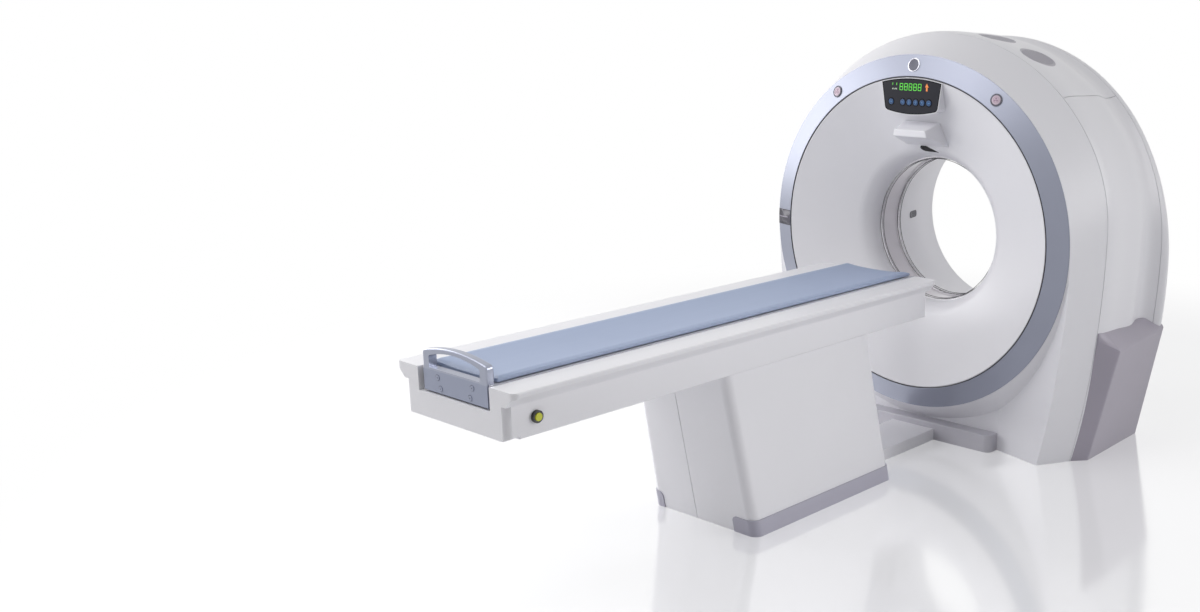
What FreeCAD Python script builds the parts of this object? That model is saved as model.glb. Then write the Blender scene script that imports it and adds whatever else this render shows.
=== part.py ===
import FreeCAD, Part
import math
import os

os.makedirs("parts", exist_ok=True)

Vector = FreeCAD.Vector

# A CT scanner: a gantry with a round bore, and a patient table in front of it.
# X runs across, Y along the bore from the table to the rear, Z up.
# The origin is on the floor below the isocentre. Depths are measured from the
# front ring's outer edge, and place() turns them into Y.

# Gantry, main sizes
scan_depth = 294.0
axis_height = 1016.0
bore_radius = 350.0
wall = 5.0
seam = 3.0
seat_gap = 0.3
fit_gap = 0.05

# Gantry outline, by depth: crown radius, half-width at the waist and at the floor
shoulder_angle = 30.0
ring_outer = 845.0
ring_foot = 678.0
front_seam_depth = 198.0
front_seam_section = (940.0, 921.0, 794.0)
rear_depth = 813.0
rear_section = (902.0, 941.0, 813.0)
rear_cover_depth = 78.0
rear_seam_section = (914.0, 930.0, 806.0)

# Sections between the two seams; the first figure is the share of the way back
bulge_sections = (
    (0.190, 945.0, 929.0, 803.0),
    (0.458, 936.0, 925.0, 803.0),
    (0.680, 924.0, 914.0, 797.0),
    (0.898, 903.0, 895.0, 784.0),
)
rear_edge = 14.0
top_seam_angle = 45.0

# Front ring, dish and bore lining
ring_inner = 745.0
ring_proud = 30.0
ring_seat = 3.0
flange_inner = 728.0
flange_thick = 6.0
dish_gap = 3.0
throat_radius = 362.0
throat_depth = 141.0
throat_round = 110.0
dish_end = 214.0
window_ring_width = 18.0
window_width = 124.0
liner_end_radius = 450.0
liner_wall = 5.0
liner_lead = 6.0
liner_straight = 30.0
liner_lip = 16.0
liner_lip_thick = 2.0

# Leg fronts and foot
leg_wall_depth = 114.0
leg_wall_half = 449.0
leg_slope = 0.2706
boss_slope = 0.728
rail_height = 86.0
rail_half = 446.0
rail_depth = 43.0
rail_corner = 34.0

# Grey boxes at the feet, at three depths: half-width at the floor, then the outer and the
# inner corner, each as a half-width and its drop below the bore's axis
box_front_depth = 198.0
box_corner_depth = 268.0
box_rear_depth = 803.0
box_front = (794.0, 905.0, 416.0, 905.0, 379.0)
box_corner = (852.0, 983.0, 461.0, 905.0, 379.0)
box_rear = (834.0, 943.0, 454.0, 880.0, 401.0)
box_root = 700.0
box_round = 18.0

# Display, laser housing, ports and vents
panel_front = -33.0
panel_top_half = 171.0
panel_bottom_half = 151.0
panel_rise = 588.0
panel_sag = 19.0
panel_corner = 26.0
panel_rim = 2.5
screen_thick = 4.0
key_rise = 627.0
key_first = -114.0
key_row = -48.0
key_pitch = 37.0
key_row_count = 5
key_radius = 14.0
key_proud = 1.5
key_travel = 1.5
laser_front = -40.0
laser_back = 120.0
laser_front_rise = (468.0, 500.0)
laser_front_half = (97.0, 88.0)
laser_back_rise = (412.0, 550.0)
laser_back_half = (128.0, 108.0)
slot_radius = 392.0
slot_depth = 128.0
slot_half = 48.0
slot_tall = 10.0
port_radius = 797.0
port_angle = 34.5
port_bezel = 27.0
port_cap = 20.7
port_sunk = 8.0
port_proud = 3.0
port_travel = 3.0
vent_angles = (-27.5, -13.0, 13.0, 27.5)
vent_share = 0.296
vent_long = 109.0
vent_short = 84.0
vent_sunk = 1.5
vent_thick = 8.0
vent_slots = 9

# Base frame, stator and rotor
base_side_gap = 17.0
base_front_gap = 15.0
base_rear_gap = 63.0
base_height = 60.0
base_rail = 150.0
anchor_x = 1200.0
anchor_edge = 63.5
anchor_radius = 11.0
hoop_width = 30.0
hoop_thick = 25.0
stator_front = 545.0
stator_thick = 30.0
stator_inner = 440.0
stator_outer = 690.0
stator_leg = (440.0, 620.0)
race_split = 600.0
race_inner = 560.0
race_outer = 650.0
race_front = 480.0
race_clear = 5.0
rotor_front = 440.0
rotor_thick = 25.0
rotor_inner = 410.0
rotor_outer = 780.0
rotor_windows = 8
rotor_window_radius = 45.0
focus_radius = 600.0
tube_radius = 90.0
tube_front = 200.0
collimator_half = 80.0
collimator_height = 70.0
detector_gap = 60.0
detector_thick = 70.0
detector_half_angle = 26.0
detector_front = 240.0
tank_half = 150.0
tank_radial = (480.0, 700.0)
tank_front = 230.0
slip_inner = 450.0
slip_outer = 540.0
slip_thick = 14.0
slip_tracks = 4
brush_half = 60.0
belt_width = 22.0
belt_thick = 5.0
pulley_z = 190.0
pulley_radius = 50.0
shaft_radius = 14.0
shaft_length = 60.0
motor_radius = 70.0
motor_foot_half = 60.0
motor_foot_gap = 4.0
motor_length = 180.0

# Patient table
pedestal_foot_half = 293.0
pedestal_top_half = 264.0
pedestal_height = 702.0
pedestal_front = -1441.0
pedestal_back = -533.0
pedestal_lean = 0.2
pedestal_corner = 40.0
pedestal_wall = 4.0
pedestal_seam_x = -40.0
plinth_height = 72.0
plinth_proud = 4.0
plinth_wrap = (62.0, 118.0)
plinth_round = 22.0
table_bolts_x = 400.0
table_bolts_y = 600.0
table_plate = 18.0
column_half = 110.0
column_depth = 300.0
column_wall = 8.0
column_top = 600.0
carriage_bottom = 120.0
carriage_plate = 12.0
sleeve_bottom = 520.0
sleeve_clear = 2.0
sleeve_wall = 3.0
duct_half = 126.0
duct_height = 57.0
duct_wall = 3.0
plate_side_gap = 1.0
plate_front_gap = 3.0
plate_back_gap = 13.0

# Tabletop, cradle and handle
top_foot = -2621.0
top_head = -256.0
apron_half = 282.0
apron_bottom = 705.0
apron_chamfer = 6.0
apron_floor = 22.0
apron_top = 825.0
flange_half = 329.0
flange_under = 858.0
flange_top = 880.0
flange_round = 6.0
flange_foot_corner = 24.0
flange_head_corner = 38.0
apron_head_corner = 40.0
top_wall = 6.0
trough_half = 200.0
trough_floor = 794.0
cap_length = 54.0
cap_chamfer = 24.0
cap_cove = 22.0
rail_x = 120.0
rail_width = 24.0
rail_tall = 6.0
cradle_half = 194.0
cradle_edge = 881.0
cradle_sag = 12.0
cradle_thick = 13.0
carriage_length = 600.0
plate_half = 179.0
plate_bottom = 801.0
plate_drop = 4.0
plate_thick = 8.0
plate_inset = 9.0
pad_half = 190.0
pad_thick = 20.0
pad_round = 6.0
pad_gap = 4.0
handle_depth = 32.0
handle_shoulder = 942.0
handle_top = 964.0
handle_bar = 16.0
handle_post = 36.0
handle_corner = 16.0
handle_round = 6.0
handle_sill = 7.0
stop_depth = -2499.0
stop_height = 770.0
stop_bezel = 22.0
stop_cap = 14.5
stop_proud = 12.0
stop_stem = 4.0
bezel_bore_gap = 0.5

rear_seam_depth = rear_depth - rear_cover_depth
vent_depth = front_seam_depth + vent_share * (rear_seam_depth - front_seam_depth)
panel_bottom = axis_height + panel_rise
key_height = axis_height + key_rise
base_half = front_seam_section[2] - wall - base_side_gap
base_front = front_seam_depth - base_front_gap
base_rear = rear_depth - base_rear_gap
anchor_y = base_rear - base_front - 2.0 * anchor_edge
pulley_x = base_half - motor_foot_half - motor_foot_gap
detector_near = focus_radius + bore_radius + detector_gap
detector_far = detector_near + detector_thick
rotor_back = rotor_front + rotor_thick
window_front = dish_end + window_ring_width
window_back = window_front + window_width
liner_front = window_back + window_ring_width
dish_rim = ring_inner - dish_gap
table_plate_back = pedestal_back - pedestal_wall - plate_back_gap
handle_front = top_foot + plate_inset
cradle_foot = handle_front + plate_thick
plate_top = cradle_edge - plate_drop
pad_edge = cradle_edge + pad_thick

# Limits of the blocks that cut or keep a part of the gantry, all well outside it
wide = 1.3 * front_seam_section[1]
tall = 1.2 * (axis_height + bulge_sections[0][1])
ahead = -3.0 * ring_proud
behind = 1.15 * rear_depth


def place(x, depth, z):
    return Vector(x, depth - scan_depth, z)


def export(name, shape):
    if shape.ShapeType == "Compound" and len(shape.Solids) == 1:
        shape = shape.Solids[0]
    shape.exportStep("parts/" + name + ".step")
    print(name, len(shape.Solids), round(shape.Volume / 1000.0), shape.isValid())


def face_of(edges):
    return Part.Face(Part.Wire(edges))


def outline_edges(corners):
    # corners are (point, radius) pairs; a radius rounds that corner with a tangent arc
    edges = []
    cuts = []
    count = len(corners)
    for index in range(count):
        point, radius = corners[index]
        back = (corners[index - 1][0] - point).normalize()
        ahead = (corners[(index + 1) % count][0] - point).normalize()
        if radius > 0:
            half_turn = back.getAngle(ahead) / 2.0
            reach = radius / math.tan(half_turn)
            centre = point + (back + ahead).normalize() * (radius / math.sin(half_turn))
            middle = centre + (point - centre).normalize() * radius
            cuts.append((point + back * reach, middle, point + ahead * reach))
        else:
            cuts.append((point, None, point))
    for index in range(count):
        start, middle, end = cuts[index]
        if middle is not None:
            edges.append(Part.Arc(start, middle, end).toShape())
        following = cuts[(index + 1) % count][0]
        edges.append(Part.LineSegment(end, following).toShape())
    return edges


def rounded_face(corners):
    return face_of(outline_edges(corners))


def ring_solid(profile):
    # profile holds (radius, depth) or (radius, depth, corner radius); it turns about the bore's axis
    corners = []
    for entry in profile:
        corner_round = entry[2] if len(entry) > 2 else 0.0
        corners.append((place(entry[0], entry[1], axis_height), corner_round))
    return rounded_face(corners).revolve(Vector(0, 0, axis_height), Vector(0, 1, 0), 360)


def disc(radius, front, back):
    return Part.makeCylinder(radius, back - front, place(0, front, axis_height), Vector(0, 1, 0))


def block(x0, x1, depth0, depth1, z0, z1):
    return Part.makeBox(x1 - x0, depth1 - depth0, z1 - z0, place(x0, depth0, z0))


def mirrored(shape):
    return shape.mirror(Vector(0, 0, 0), Vector(1, 0, 0))


def turned(shape, angle):
    copy = shape.copy()
    copy.rotate(Vector(0, 0, axis_height), Vector(0, 1, 0), angle)
    return copy


def edges_along(shape, direction, accept):
    chosen = []
    for edge in shape.Edges:
        if edge.Curve.TypeId != "Part::GeomLine":
            continue
        if abs(edge.Curve.Direction.dot(direction)) > 0.999 and accept(edge.CenterOfMass):
            chosen.append(edge)
    return chosen


# Gantry outer form

def gantry_wire(depth, crown, waist, foot, drop):
    tilt = math.radians(shoulder_angle)
    knee = (crown * math.cos(tilt), axis_height + crown * math.sin(tilt))
    shoulder = (waist - knee[0]) / (1.0 - math.cos(tilt))
    centre = (knee[0] - shoulder * math.cos(tilt), knee[1] - shoulder * math.sin(tilt))
    taper = waist - foot
    leg_radius = (centre[1] ** 2 + taper ** 2) / (2.0 * taper)
    leg_turn = math.asin(centre[1] / leg_radius) / 2.0
    shoulder_mid = (
        centre[0] + shoulder * math.cos(tilt / 2.0),
        centre[1] + shoulder * math.sin(tilt / 2.0),
    )
    leg_mid = (
        waist - leg_radius + leg_radius * math.cos(leg_turn),
        centre[1] - leg_radius * math.sin(leg_turn),
    )

    def right(pair):
        return place(pair[0], depth, pair[1])

    def left(pair):
        return place(-pair[0], depth, pair[1])

    crown_top = place(0, depth, axis_height + crown)
    waist_point = (waist, centre[1])
    foot_point = (foot, 0.0)
    edges = [
        Part.Arc(left(knee), crown_top, right(knee)).toShape(),
        Part.Arc(right(knee), right(shoulder_mid), right(waist_point)).toShape(),
        Part.Arc(right(waist_point), right(leg_mid), right(foot_point)).toShape(),
    ]
    low = (foot, -drop)
    if drop > 0:
        edges.append(Part.LineSegment(right(foot_point), right(low)).toShape())
    edges.append(Part.LineSegment(right(low), left(low)).toShape())
    if drop > 0:
        edges.append(Part.LineSegment(left(low), left(foot_point)).toShape())
    edges.append(Part.Arc(left(foot_point), left(leg_mid), left(waist_point)).toShape())
    edges.append(Part.Arc(left(waist_point), left(shoulder_mid), left(knee)).toShape())
    return Part.Wire(edges)


def gantry_form(inset, drop=0.0):
    # straight from the ring to the front seam, one smooth waisted surface back to the
    # rear edge, and a rounded edge there
    def wire_at(depth, crown, waist, foot):
        return gantry_wire(depth, crown - inset, waist - inset, foot - inset, drop)

    ring_end = wire_at(inset, ring_outer, ring_outer, ring_foot)
    seam_wire = wire_at(front_seam_depth, *front_seam_section)
    waisted = [seam_wire]
    for share, crown, waist, foot in bulge_sections:
        depth = front_seam_depth + share * (rear_seam_depth - front_seam_depth)
        waisted.append(wire_at(depth, crown, waist, foot))
    waisted.append(wire_at(rear_seam_depth, *rear_seam_section))
    crown, waist, foot = rear_section
    edge = rear_edge - inset
    rounded = []
    for turn in (0.0, 30.0, 60.0, 90.0):
        depth = rear_depth - inset - edge + edge * math.sin(math.radians(turn))
        drawn_in = edge * (1.0 - math.cos(math.radians(turn)))
        rounded.append(wire_at(depth, crown - drawn_in, waist - drawn_in, foot - drawn_in))
    waisted.append(rounded[0])
    front = Part.makeLoft([ring_end, seam_wire], True, True)
    middle = Part.makeLoft(waisted, True, False)
    return front.fuse([middle, Part.makeLoft(rounded, True, True)])


def leg_front_cut(inset):
    # the space in front of the leg faces, outside the boss that carries the front ring
    low = -2.0 * ring_proud
    outer_depth = leg_wall_depth - leg_slope * (wide - leg_wall_half)
    plan = [
        place(-wide, ahead, low),
        place(wide, ahead, low),
        place(wide, outer_depth + inset, low),
        place(leg_wall_half, leg_wall_depth + inset, low),
        place(-leg_wall_half, leg_wall_depth + inset, low),
        place(-wide, outer_depth + inset, low),
    ]
    space = rounded_face([(point, 0) for point in plan]).extrude(Vector(0, 0, axis_height))
    back = leg_wall_depth + 60.0
    boss = ring_solid([
        (0.0, ahead - 1.0),
        (ring_outer - inset, ahead - 1.0),
        (ring_outer - inset, inset),
        (ring_outer - inset + boss_slope * (back - inset), back),
        (0.0, back),
    ])
    return space.cut(boss)


def depth_slab(front, back):
    return block(-wide, wide, front, back, -2.0 * ring_proud, tall)


def dish_profile(offset):
    # the visible face of the dish, moved back into its wall by offset
    return [
        (dish_rim, -ring_proud + offset, 4.0),
        (throat_radius + offset, throat_depth + offset * 0.6, throat_round - offset),
        (bore_radius + 3.0 + offset, dish_end),
    ]


def behind_dish(offset):
    face = dish_profile(offset)
    return ring_solid([
        (dish_rim + 40.0, -ring_proud + offset),
        (dish_rim - 1.0, -ring_proud + offset),
        face[1],
        face[2],
        (dish_rim + 40.0, dish_end),
    ])


def front_cover(form, void):
    shell = form.common(depth_slab(ring_seat, front_seam_depth - seam / 2.0))
    shell = shell.cut(leg_front_cut(0.0)).cut(void.cut(leg_front_cut(wall)))
    seat = ring_solid([
        (flange_inner, ring_seat),
        (ring_outer - 1.0, ring_seat),
        (ring_outer - 1.0, ring_seat + flange_thick),
        (flange_inner, ring_seat + flange_thick),
    ])
    shell = shell.fuse(seat)
    return shell.cut(disc(flange_inner, ahead, leg_wall_depth + 60.0)).removeSplitter()


def front_funnel():
    front = dish_profile(0.0)
    back = dish_profile(wall)
    return ring_solid([
        front[0],
        front[1],
        front[2],
        (back[2][0], dish_end),
        (back[1][0], back[1][1], back[1][2]),
        (dish_rim - wall, -ring_proud + wall + 2.0),
        (dish_rim - wall, ring_seat),
        (dish_rim, ring_seat),
    ])


def ring_trim():
    return ring_solid([
        (ring_outer, ring_seat),
        (ring_outer, 0.0),
        (ring_inner, -ring_proud, 3.0),
        (ring_inner, ring_seat),
    ])


def window_ring(front):
    back = front + window_ring_width
    groove = 3.0
    return ring_solid([
        (bore_radius + 1.0, front),
        (bore_radius - 1.0, front + 2.0),
        (bore_radius - 1.0, front + 6.0),
        (bore_radius + groove, front + 7.0),
        (bore_radius + groove, back - 7.0),
        (bore_radius - 1.0, back - 6.0),
        (bore_radius - 1.0, back - 2.0),
        (bore_radius + 1.0, back),
        (bore_radius + 12.0, back),
        (bore_radius + 12.0, front),
    ])


def scan_window():
    return ring_solid([
        (bore_radius + 2.0, window_front),
        (bore_radius + 2.0, window_back),
        (bore_radius + 5.0, window_back),
        (bore_radius + 5.0, window_front),
    ])


def rear_liner():
    return ring_solid([
        (bore_radius, liner_front),
        (bore_radius + liner_lead, liner_front + liner_straight, 200.0),
        (liner_end_radius, rear_depth + liner_lip_thick, 2.0),
        (liner_end_radius + liner_lip, rear_depth + liner_lip_thick),
        (liner_end_radius + liner_lip, rear_depth),
        (liner_end_radius + liner_wall, rear_depth),
        (liner_end_radius + liner_wall, rear_depth - wall - 5.0),
        (bore_radius + liner_lead + liner_wall, liner_front + liner_straight, 200.0),
        (bore_radius + liner_wall, liner_front),
    ])


def body_shell(form, void):
    shell = form.cut(void)
    return shell.common(depth_slab(front_seam_depth + seam / 2.0, rear_seam_depth - seam / 2.0))


def top_wedge(gap):
    # the sector above both 45 degree seams, narrowed by half a seam each side
    spread = tall * math.tan(math.radians(top_seam_angle))
    tip = gap / math.sin(math.radians(top_seam_angle))
    plan = [
        place(0, 0, axis_height + tip),
        place(spread, 0, axis_height + tall + tip),
        place(-spread, 0, axis_height + tall + tip),
    ]
    return rounded_face([(point, 0) for point in plan]).extrude(Vector(0, behind, 0))


def vent_cutter(angle, shrink):
    inner = 0.9 * ring_outer
    outer = 1.2 * ring_outer
    centre = place(0, vent_depth, axis_height + inner)
    long_end = centre + Vector(0, vent_long - shrink, 0)
    short_end = centre + Vector(vent_short - shrink, 0, 0)
    face = Part.Face(Part.Wire([Part.Ellipse(long_end, short_end, centre).toShape()]))
    return turned(face.extrude(Vector(0, 0, outer - inner)), angle)


def top_cover(shell):
    cover = shell.common(top_wedge(seam / 2.0))
    for angle in vent_angles:
        cover = cover.cut(vent_cutter(angle, 0.0))
    return cover


def top_vents(grille_band):
    grilles = []
    pitch = 2.0 * vent_long / (vent_slots + 1)
    for angle in vent_angles:
        grille = vent_cutter(angle, seat_gap).common(grille_band)
        for index in range(vent_slots):
            depth = vent_depth - vent_long + pitch * (index + 1)
            reach = 0.8 * vent_short * math.sqrt(1.0 - ((depth - vent_depth) / vent_long) ** 2)
            slot = block(-reach, reach, depth - pitch * 0.2, depth + pitch * 0.2,
                         axis_height + 0.9 * ring_outer, axis_height + 1.2 * ring_outer)
            grille = grille.cut(turned(slot, angle))
        grilles.append(grille)
    return Part.makeCompound(grilles)


def side_cover(shell):
    side = shell.cut(top_wedge(-seam / 2.0))
    return side.common(block(0.0, wide, 0.0, behind, -2.0 * ring_proud, tall))


def rear_cover(form, void):
    shell = form.cut(void).common(depth_slab(rear_seam_depth + seam / 2.0, behind))
    return shell.cut(disc(liner_end_radius + liner_wall + seat_gap, rear_seam_depth - wall, behind))


def box_wire(depth, sizes, inset, z_low):
    foot, corner, corner_drop, inner, inner_drop = sizes
    corner_z = axis_height - corner_drop
    inner_z = axis_height - inner_drop
    points = [
        place(box_root, depth, z_low),
        place(foot - inset, depth, z_low),
        place(corner - inset, depth, corner_z - inset),
        place(inner - inset, depth, inner_z - inset),
        place(box_root, depth, inner_z - inset),
    ]
    return Part.makePolygon(points + [points[0]])


def foot_box(form_clear):
    wires = [
        box_wire(box_front_depth + 4.0, box_front, 0.0, 0.0),
        box_wire(box_corner_depth, box_corner, 0.0, 0.0),
        box_wire(box_rear_depth, box_rear, 0.0, 0.0),
    ]
    outer = Part.makeLoft(wires, True, True)
    rounded = []
    for edge in outer.Edges:
        middle = edge.CenterOfMass
        long_edge = edge.Length > 400.0
        outside = middle.x > box_rear[0] + 20.0
        if long_edge and outside and middle.z > 20.0:
            rounded.append(edge)
    outer = outer.makeFillet(box_round, rounded)
    hollow = Part.makeLoft([
        box_wire(box_front_depth + 30.0, box_front, wall, -10.0),
        box_wire(box_corner_depth + wall, box_corner, wall, -10.0),
        box_wire(box_rear_depth - wall, box_rear, wall, -10.0),
    ], True, True)
    return outer.cut(hollow).cut(form_clear)


def foot_rail():
    body = block(-rail_half, rail_half, rail_depth, leg_wall_depth, 0.0, rail_height)
    corners = edges_along(body, Vector(0, 0, 1), lambda p: p.y < place(0, rail_depth + 1.0, 0).y)
    body = body.makeFillet(rail_corner, corners)
    top_edges = [edge for edge in body.Edges if edge.BoundBox.ZMin > rail_height - 0.1
                 and edge.BoundBox.YMin < place(0, leg_wall_depth - 5.0, 0).y]
    return body.makeFillet(5.0, top_edges)


def panel_solid(inset, front, back):
    top_radius = dish_rim - 3.0 - inset
    top_half = panel_top_half - inset
    top_z = axis_height + math.sqrt(top_radius ** 2 - top_half ** 2)
    low_half = panel_bottom_half - inset
    low_z = panel_bottom + inset
    edges = [
        Part.Arc(place(-top_half, front, top_z), place(0, front, axis_height + top_radius),
                 place(top_half, front, top_z)).toShape(),
        Part.LineSegment(place(top_half, front, top_z), place(low_half, front, low_z)).toShape(),
        Part.Arc(place(low_half, front, low_z), place(0, front, low_z - panel_sag),
                 place(-low_half, front, low_z)).toShape(),
        Part.LineSegment(place(-low_half, front, low_z), place(-top_half, front, top_z)).toShape(),
    ]
    solid = face_of(edges).extrude(Vector(0, back - front, 0))
    corners = edges_along(solid, Vector(0, 1, 0), lambda p: p.z < panel_bottom + 60.0)
    return solid.makeFillet(panel_corner - inset, corners)


def key_positions():
    places = [key_first]
    for index in range(key_row_count):
        places.append(key_row + key_pitch * index)
    return places


def key_plug(x, radius, front, back):
    return Part.makeCylinder(radius, back - front, place(x, front, key_height), Vector(0, 1, 0))


def display_bezel(dish):
    housing = panel_solid(0.0, panel_front, 90.0).cut(dish)
    housing = housing.cut(panel_solid(panel_rim, panel_front - 1.0, panel_front + screen_thick))
    for x in key_positions():
        floor = panel_front + screen_thick + key_travel + 1.0
        housing = housing.cut(key_plug(x, key_radius + bezel_bore_gap, panel_front, floor))
    return housing


def display_screen():
    plate = panel_solid(panel_rim + seat_gap, panel_front + 0.6, panel_front + screen_thick)
    for x in key_positions():
        plate = plate.cut(key_plug(x, key_radius + seat_gap, panel_front - 5.0, panel_front + 10.0))
    return plate


def panel_key(x):
    cap = key_plug(x, key_radius, panel_front - key_proud, panel_front + screen_thick - seat_gap)
    front_edge = [edge for edge in cap.Edges if edge.BoundBox.YMax < place(0, panel_front, 0).y - 1.0]
    return cap.makeFillet(1.0, front_edge)


def laser_section(depth, rises, halves):
    low = axis_height + rises[0]
    high = axis_height + rises[1]
    low_half, high_half = halves
    points = [
        place(-low_half, depth, low),
        place(low_half, depth, low),
        place(high_half, depth, high),
        place(-high_half, depth, high),
    ]
    return Part.makePolygon(points + [points[0]])


def laser_housing(dish):
    wires = [
        laser_section(laser_front, laser_front_rise, laser_front_half),
        laser_section(laser_back, laser_back_rise, laser_back_half),
    ]
    body = Part.makeLoft(wires, True, True)
    front_edges = [edge for edge in body.Edges if edge.BoundBox.YMin < place(0, laser_front + 1.0, 0).y]
    return body.makeFillet(7.0, front_edges).cut(dish)


def slot_cutter(shrink):
    normal = Vector(0, -0.65, -0.76).normalize()
    across = Vector(1, 0, 0)
    centre = place(0, slot_depth, axis_height + slot_radius)
    ellipse = Part.Ellipse(centre, slot_half - shrink, slot_tall - shrink)
    wire = Part.Wire([ellipse.toShape()])
    tilt = math.degrees(math.atan2(normal.y, -normal.z))
    wire.rotate(centre, across, tilt)
    return Part.Face(wire).extrude(normal * 40.0).translate(normal * -20.0)


def port_axis(side):
    lean = math.atan2(ring_proud, ring_outer - ring_inner)
    angle = math.radians(port_angle)
    radial = Vector(side * math.sin(angle), 0, math.cos(angle))
    return (radial * math.sin(lean) + Vector(0, -math.cos(lean), 0)).normalize()


def port_centre(side):
    angle = math.radians(port_angle)
    depth = -ring_proud * (ring_outer - port_radius) / (ring_outer - ring_inner)
    return place(side * port_radius * math.sin(angle), depth, axis_height + port_radius * math.cos(angle))


def port_plug(side, radius, low, high):
    axis = port_axis(side)
    return Part.makeCylinder(radius, high - low, port_centre(side) + axis * low, axis)


def port_bezels():
    rims = []
    for side in (-1, 1):
        rim = port_plug(side, port_bezel - seat_gap, -port_sunk, port_proud)
        rims.append(rim.cut(port_plug(side, port_cap + seat_gap, -port_sunk + 1.0, port_proud + 1.0)))
    return Part.makeCompound(rims)


def port_button(side):
    low = -port_sunk + 1.0 + port_travel + seat_gap
    cap = port_plug(side, port_cap, low, port_proud + 2.0)
    axis = port_axis(side)
    rim = port_centre(side) + axis * (port_proud + 2.0)
    outer = [edge for edge in cap.Edges if edge.Curve.TypeId == "Part::GeomCircle"
             and edge.Curve.Center.distanceToPoint(rim) < 0.1]
    return cap.makeFillet(1.5, outer)


# Inside the gantry

def base_frame():
    body = block(-base_half, base_half, base_front, base_rear, 0.0, base_height)
    depth_mid = (base_front + base_rear) / 2.0
    for side in (-1, 1):
        near = base_rail / 2.0
        far = base_half - base_rail
        x0, x1 = sorted((side * near, side * far))
        body = body.cut(block(x0, x1, base_front + 80.0, base_rear - 80.0, -1.0, base_height + 1.0))
        for step in (-1, 1):
            bolt = place(side * anchor_x / 2.0, depth_mid + step * anchor_y / 2.0, -1.0)
            body = body.cut(Part.makeCylinder(anchor_radius, base_height + 2.0, bolt))
    return body


def cover_hoops(hoop_form):
    hoops = []
    for front in (base_front, base_rear - hoop_width):
        slab = block(-wide, wide, front, front + hoop_width, base_height, tall)
        hoops.append(hoop_form.common(slab))
    return Part.makeCompound(hoops)


def stator_frame():
    back = stator_front + stator_thick
    plate = disc(stator_outer, stator_front, back)
    near, far = stator_leg
    for side in (-1, 1):
        x0, x1 = sorted((side * near, side * far))
        plate = plate.fuse(block(x0, x1, stator_front, back, base_height, axis_height))
        foot = block(x0, x1, stator_front - 60.0, back + 60.0, base_height, base_height + 20.0)
        plate = plate.fuse(foot)
    return plate.cut(disc(stator_inner, stator_front - 1.0, back + 1.0)).removeSplitter()


def race(inner, outer, front, back):
    return ring_solid([(inner, front), (outer, front), (outer, back), (inner, back)])


def rotor_plate():
    plate = race(rotor_inner, rotor_outer, rotor_front, rotor_back)
    middle = (race_outer + rotor_outer) / 2.0 + 5.0
    for index in range(rotor_windows):
        angle = 360.0 / rotor_windows * (index + 0.5)
        hole = Part.makeCylinder(rotor_window_radius, rotor_thick + 2.0,
                                 place(middle, rotor_front - 1.0, axis_height), Vector(0, 1, 0))
        plate = plate.cut(turned(hole, angle))
    return plate


def xray_tube():
    centre_z = axis_height + focus_radius
    housing = Part.makeCylinder(tube_radius, rotor_front - tube_front - 40.0,
                                place(0, tube_front, centre_z), Vector(0, 1, 0))
    rim = [edge for edge in housing.Edges if edge.Curve.TypeId == "Part::GeomCircle"]
    housing = housing.makeFillet(18.0, rim)
    neck = Part.makeCylinder(tube_radius * 0.5, 70.0,
                             place(0, rotor_front - 70.0, centre_z), Vector(0, 1, 0))
    flange = Part.makeCylinder(tube_radius * 0.8, 12.0,
                               place(0, rotor_front - 12.0, centre_z), Vector(0, 1, 0))
    port = block(-30.0, 30.0, scan_depth - 30.0, scan_depth + 30.0,
                 centre_z - tube_radius - 8.0, centre_z)
    return housing.fuse([neck, flange, port]).removeSplitter()


def collimator():
    top = axis_height + focus_radius - tube_radius - 8.0
    low = top - collimator_height
    body = block(-collimator_half, collimator_half, scan_depth - 50.0, rotor_front, low, top)
    slot = block(-collimator_half + 15.0, collimator_half - 15.0, scan_depth - 8.0, scan_depth + 8.0,
                 low - 1.0, top + 1.0)
    return body.cut(slot)


def detector_array():
    focus_z = axis_height + focus_radius
    turn = math.radians(detector_half_angle)

    def on_arc(radius, angle):
        return place(radius * math.sin(angle), detector_front, focus_z - radius * math.cos(angle))

    near = [on_arc(detector_near, step * turn) for step in (-1, 0, 1)]
    far = [on_arc(detector_far, step * turn) for step in (-1, 0, 1)]
    edges = [
        Part.Arc(near[0], near[1], near[2]).toShape(),
        Part.LineSegment(near[2], far[2]).toShape(),
        Part.Arc(far[2], far[1], far[0]).toShape(),
        Part.LineSegment(far[0], near[0]).toShape(),
    ]
    return face_of(edges).extrude(Vector(0, rotor_front - detector_front, 0))


def hv_tanks():
    near, far = tank_radial
    tank = block(near, far, tank_front, rotor_front, axis_height - tank_half, axis_height + tank_half)
    tank = tank.makeFillet(20.0, edges_along(tank, Vector(0, 1, 0), lambda p: True))
    return Part.makeCompound([tank, mirrored(tank)])


def slip_ring():
    plate = race(slip_inner, slip_outer, rotor_back, rotor_back + slip_thick)
    pitch = (slip_outer - slip_inner) / slip_tracks
    for index in range(slip_tracks):
        middle = slip_inner + pitch * (index + 0.5)
        plate = plate.cut(race(middle - pitch * 0.25, middle + pitch * 0.25,
                               rotor_back + slip_thick - 2.0, rotor_back + slip_thick + 1.0))
    return plate


def brush_block():
    front = rotor_back + slip_thick + seat_gap
    return block(-brush_half, brush_half, front, stator_front,
                 axis_height + slip_inner + 8.0, axis_height + slip_outer - 8.0)


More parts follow.
